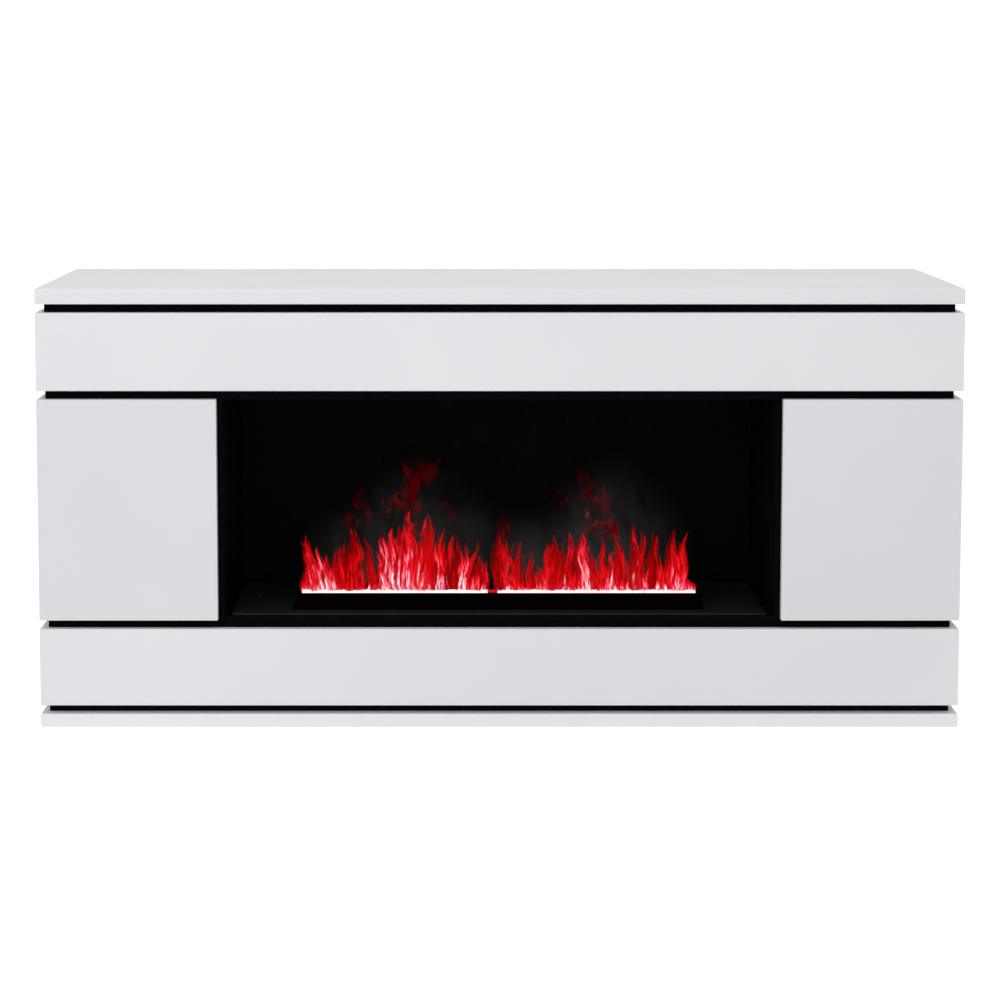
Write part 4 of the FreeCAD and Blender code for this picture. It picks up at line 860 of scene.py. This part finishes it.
def build_wisps():
    """Scraps of mist about listed centres, each given as share, height, length and warmth."""
    rows = [(along_slot(slot, share), *rest) for slot, group in WISPS.items() for share, *rest in group]
    x, middle, length, warm = np.repeat(np.array(rows), SCRAPS, 0).T
    count = len(x)
    tall = length * rng.uniform(*SCRAP_LENGTH_SHARE, count)
    aside, behind, higher = (rng.normal(0.0, spread, count) for spread in SCRAP_SCATTER)
    rise = np.minimum(middle - tall / 2 + higher, WISP_REACH - tall)
    foot = np.stack([x + aside, slot_middle_y + behind, hood_top + rise], -1)
    warm = warm * rng.uniform(*SCRAP_WARMTH_SHARE, count)
    add_tongues("flame_wisps", foot, tall, warm, wisp_glow, drifting=True,
                half_width=tall * rng.uniform(*SCRAP_WIDTH_SHARE, count),
                lean=rng.normal(*SCRAP_LEAN_SHARE, count) * tall,
                sway=rng.uniform(*SCRAP_SWAY_SHARE, count) * tall,
                phase=rng.uniform(0.0, 2 * np.pi, count),
                taper=np.full(count, SCRAP_TAPER), swell=np.full(count, SCRAP_SWELL))


build_wisps()

# %% [markdown]
# ## Unlit mist
# Mist that has left the lamps' beam is only a grey veil, just brighter than the black wall behind it.
# Two wavy curtains with a very low alpha give it. They hang behind the tongues, because a ray of light
# is followed through only a few clear surfaces. They reach highest over the two tallest groups of
# tongues, and between these groups they are weaker.

# %% Grey veil
VEIL_GRID = (81, 17)
VEIL_HEIGHT = 0.19
VEIL_BEHIND = {"near_veil": 0.024, "far_veil": 0.042}
VEIL_WAVE = 0.005
WAVE_ALONG = 31.0
WAVE_UP = 4.0
WAVE_SHIFT = 100.0
HEIGHT_SWING = 0.25
HEIGHT_CREST = 0.3
STRENGTH_SWING = 0.3
STRENGTH_CREST = 0.17
STRENGTH_PITCH = 0.57
FADE_IN_RATE = 10.0
FADE_OUT_POWER = 1.6
VEIL_THICKNESS = 0.001


def veil_finish():
    """Faint grey light; noise in the curtain's own place breaks its alpha up into clouds."""
    material, tree, shader = dark_finish("veil_glow", 1.0)
    patch = effect(tree, "soft_patches", Scale=24.0)
    tree.links.new(blend_colours(tree, patch, (0.050, 0.052, 0.053, 1.0), (0.060, 0.050, 0.051, 1.0)),
                   shader.inputs["Emission Color"])
    cloud = effect(tree, "soft_patches", Scale=17.0, Stretch=(1.0, 7.0, 0.7), Low=0.03, High=0.44)
    tree.links.new(times(tree, value_of(tree, "core"), cloud), shader.inputs["Alpha"])
    return material


def thickened(piece, thickness):
    """Gives an open surface a thickness below or behind it, which closes it."""
    solid = piece.modifiers.new("thickness", "SOLIDIFY")
    solid.thickness = thickness
    solid.offset = -1.0
    return piece


def grid_faces(shape):
    """Quads between the neighbouring points of a grid."""
    index = np.arange(shape[0] * shape[1]).reshape(shape)
    corners = [index[:-1, :-1], index[:-1, 1:], index[1:, 1:], index[1:, :-1]]
    return np.stack(corners, -1).reshape(-1, 4).tolist()


def veil_curtain(name, behind, glow):
    """Curtain over the whole hood on a grid of u along it and v up it. Its depth is a wave that moves along
    as it rises, and its height swings by a quarter, twice along the hood. Its strength is the root of the
    sine of half a turn of u, times a wave with two crests along the hood, times one minus v to the power
    1.6, and it starts from nothing over the lowest tenth."""
    u, v = np.meshgrid(*(np.linspace(0.0, 1.0, count) for count in VEIL_GRID))
    first, last = openings["left_mist_slot"][0][0], openings["right_mist_slot"][1][0]
    wave = VEIL_WAVE * np.sin(WAVE_ALONG * u + WAVE_UP * v + WAVE_SHIFT * behind)
    height = VEIL_HEIGHT * (1.0 + HEIGHT_SWING * np.cos(4 * np.pi * (u - HEIGHT_CREST)))
    x = first + u * (last - first)
    points = np.stack([x, slot_middle_y + behind + wave, hood_top + height * v], -1)
    piece = new_piece(name, points, grid_faces(u.shape), glow, "burner_hood")
    crests = np.cos(2 * np.pi * (u - STRENGTH_CREST) / STRENGTH_PITCH)
    along = np.sqrt(np.abs(np.sin(np.pi * u))) * (1.0 - STRENGTH_SWING + STRENGTH_SWING * crests)
    fade_in = np.minimum(FADE_IN_RATE * v, 1.0)
    add_values(piece.data, core=along * (1 - v) ** FADE_OUT_POWER * fade_in)
    return thickened(piece, VEIL_THICKNESS)


veil_glow = veil_finish()
veils = [veil_curtain(name, behind, veil_glow) for name, behind in VEIL_BEHIND.items()]
print("veils:", [veil.name for veil in veils])

# %% [markdown]
# ## The bed of mist
# In each slot the mist itself is lit so strongly from below that it looks solid white. It is a rippled,
# slightly domed surface at the top of the hood, with a little thickness, so that it closes the slot
# from every side.

# %% Mist bed
BED_GRID = (161, 9)
BED_DOME = 0.003
BED_RIPPLE = 0.0005
RIPPLE_ALONG = 410.0
RIPPLE_ACROSS = 330.0
RIPPLE_SKEW = 90.0
BED_BELOW = 0.0006
BED_THICKNESS = 0.0015


def bed_finish():
    """White light with pink patches where the mist is thinner."""
    material, tree, shader = dark_finish("bed_glow", 1.25)
    factor = effect(tree, "soft_patches", Scale=75.0, Stretch=(1.0, 0.3, 1.0))
    colour = blend_colours(tree, factor, (1.0, 0.97, 0.97, 1.0), (1.0, 0.72, 0.76, 1.0))
    tree.links.new(colour, shader.inputs["Emission Color"])
    return material


def mist_bed(slot, glow):
    """Rippled sheet that fills a slot, on a grid of it: half a sine wave from its front to its rear edge for
    the dome, plus the product of two crossing sine waves for the ripple."""
    low, high = openings[slot]
    u, v = np.meshgrid(*(np.linspace(low[k], high[k], count) for k, count in enumerate(BED_GRID)))
    dome = BED_DOME * np.sin(np.pi * (v - low[1]) / (high[1] - low[1]))
    ripple = BED_RIPPLE * np.sin(u * RIPPLE_ALONG) * np.cos(v * RIPPLE_ACROSS + u * RIPPLE_SKEW)
    points = np.stack([u, v, hood_top - BED_BELOW + dome + ripple], -1)
    piece = new_piece(slot.replace("slot", "bed"), points, grid_faces(u.shape), glow, "burner_hood")
    return thickened(piece, BED_THICKNESS)


bed_glow = bed_finish()
beds = [mist_bed(slot, bed_glow) for slot in WISPS]
print("mist beds:", [bed.name for bed in beds])

# %% [markdown]
# ## Studio
# The photograph is a plain product picture: pure white all round and very soft light, a little stronger
# from the left. A white dome gives much of the light. Rays from the camera see a brighter dome, so the
# background is white while the cabinet is lit at a plain level. The floor is a large pale sheet that
# keeps a soft shadow.

# %% Background and floor
DOME_STRENGTH = 0.56
DIRECT_LIFT = 0.62
FLOOR_REACH = 30.0


def seen_directly(tree):
    """One for rays from the camera, a reflection or a clear material, and zero for light on the cabinet."""
    path = put(tree, "LightPath").outputs
    first = put(tree, "Math", {0: path["Is Camera Ray"], 1: path["Is Glossy Ray"]}, operation="MAXIMUM")
    both = {0: first.outputs[0], 1: path["Is Transmission Ray"]}
    return put(tree, "Math", both, operation="MAXIMUM").outputs[0]


def white_room():
    """World that lights the cabinet with a plain white dome and shows direct rays a pure white."""
    world = bpy.data.worlds.new("white_room")
    world.use_nodes = True
    tree = world.node_tree
    dome = tree.nodes["Background"]
    dome.inputs["Color"].default_value = (1.0, 1.0, 1.0, 1.0)
    dome.inputs["Strength"].default_value = DOME_STRENGTH
    backdrop = put(tree, "Background", {"Color": (1.0, 1.0, 1.0, 1.0), "Strength": 1.0})
    either = put(tree, "MixShader", {0: seen_directly(tree), 1: dome.outputs[0], 2: backdrop.outputs[0]})
    tree.links.new(either.outputs[0], tree.nodes["World Output"].inputs["Surface"])
    bpy.context.scene.world = world


def floor_finish():
    """Matt white sheet with a touch of its own light for direct rays, which lifts it to the backdrop."""
    plain = {"Base Color": (0.94, 0.94, 0.94, 1.0), "Roughness": 1.0, "Specular IOR Level": 0.0}
    material, tree, shader = new_finish("floor_sheet", plain)
    lift = put(tree, "Emission", {"Color": (1.0, 1.0, 1.0, 1.0)})
    tree.links.new(times(tree, seen_directly(tree), DIRECT_LIFT), lift.inputs["Strength"])
    both = put(tree, "AddShader", {0: shader.outputs[0], 1: lift.outputs[0]})
    tree.links.new(both.outputs[0], tree.nodes["Material Output"].inputs["Surface"])
    return material


def floor_sheet(reach):
    """One large square on the ground, kept apart from the cabinet as its stage."""
    mesh = bpy.data.meshes.new("floor_sheet")
    mesh.from_pydata([(-reach, -reach, 0), (reach, -reach, 0), (reach, reach, 0), (-reach, reach, 0)], [],
                     [(0, 1, 2, 3)])
    mesh.materials.append(floor_finish())
    sheet = put_in_scene("floor_sheet", mesh)


white_room()
floor_sheet(FLOOR_REACH)
bpy.context.scene.view_settings.view_transform = "Standard"
print("dome of strength", DOME_STRENGTH, "over a floor of", 2 * FLOOR_REACH, "metres")

# %% [markdown]
# ## Lamps
# Two large soft boxes stand in front, the left one stronger. A third hangs overhead for the top, and a
# low one fills the plinth. Large lamps make soft edges; their power is set so that the white lacquer
# stays just under pure white.

# %% Soft boxes
def soft_box(name, place, aim, width, height, power):
    """Rectangular lamp at a place, turned to face a point."""
    lamp = bpy.data.lights.new(name, "AREA")
    lamp.shape = "RECTANGLE"
    lamp.size = width
    lamp.size_y = height
    lamp.energy = power
    holder = put_in_scene(name, lamp)
    holder.location = place
    direction = [b - a for a, b in zip(place, aim)]
    level = math.hypot(direction[0], direction[1])
    holder.rotation_euler = (math.atan2(level, -direction[2]), 0.0, math.atan2(-direction[0], direction[1]))


MIDDLE = (0.0, 0.0, 0.4)
PLINTH = (0.0, 0.0, 0.1)
LAMPS = {
    "left_box": {"place": (-3.2, -3.4, 2.6), "aim": MIDDLE, "width": 2.4, "height": 2.0, "power": 46.0},
    "right_box": {"place": (3.2, -3.6, 2.3), "aim": MIDDLE, "width": 2.0, "height": 2.0, "power": 14.0},
    "top_box": {"place": (0.0, -0.6, 3.6), "aim": MIDDLE, "width": 3.0, "height": 2.0, "power": 22.0},
    "low_box": {"place": (-0.4, -4.6, 0.5), "aim": PLINTH, "width": 3.0, "height": 0.8, "power": 24.0},
}
for name, lamp in LAMPS.items():
    soft_box(name, **lamp)
print("soft boxes:", ", ".join(LAMPS))

# %% [markdown]
# ## Camera
# The photograph was taken from well in front and above the top, with a lens shifted down to keep the
# uprights straight. Here part of that shift is swapped for a slight downward tilt, so that views from
# other sides stay in the frame as well.

# %% Camera
TILT = 4.7
CAMERA_PLACE = (-0.0652, -3.7855, 1.043)
lens = bpy.data.cameras.new("camera")
lens.lens = 80.5
lens.shift_x = 0.0406
lens.shift_y = -0.2286
camera = put_in_scene("camera", lens)
camera.location = CAMERA_PLACE
camera.rotation_euler = (math.radians(90.0 - TILT), 0.0, 0.0)
bpy.context.scene.camera = camera
print("camera at", CAMERA_PLACE, "tilted by", TILT, "degrees")
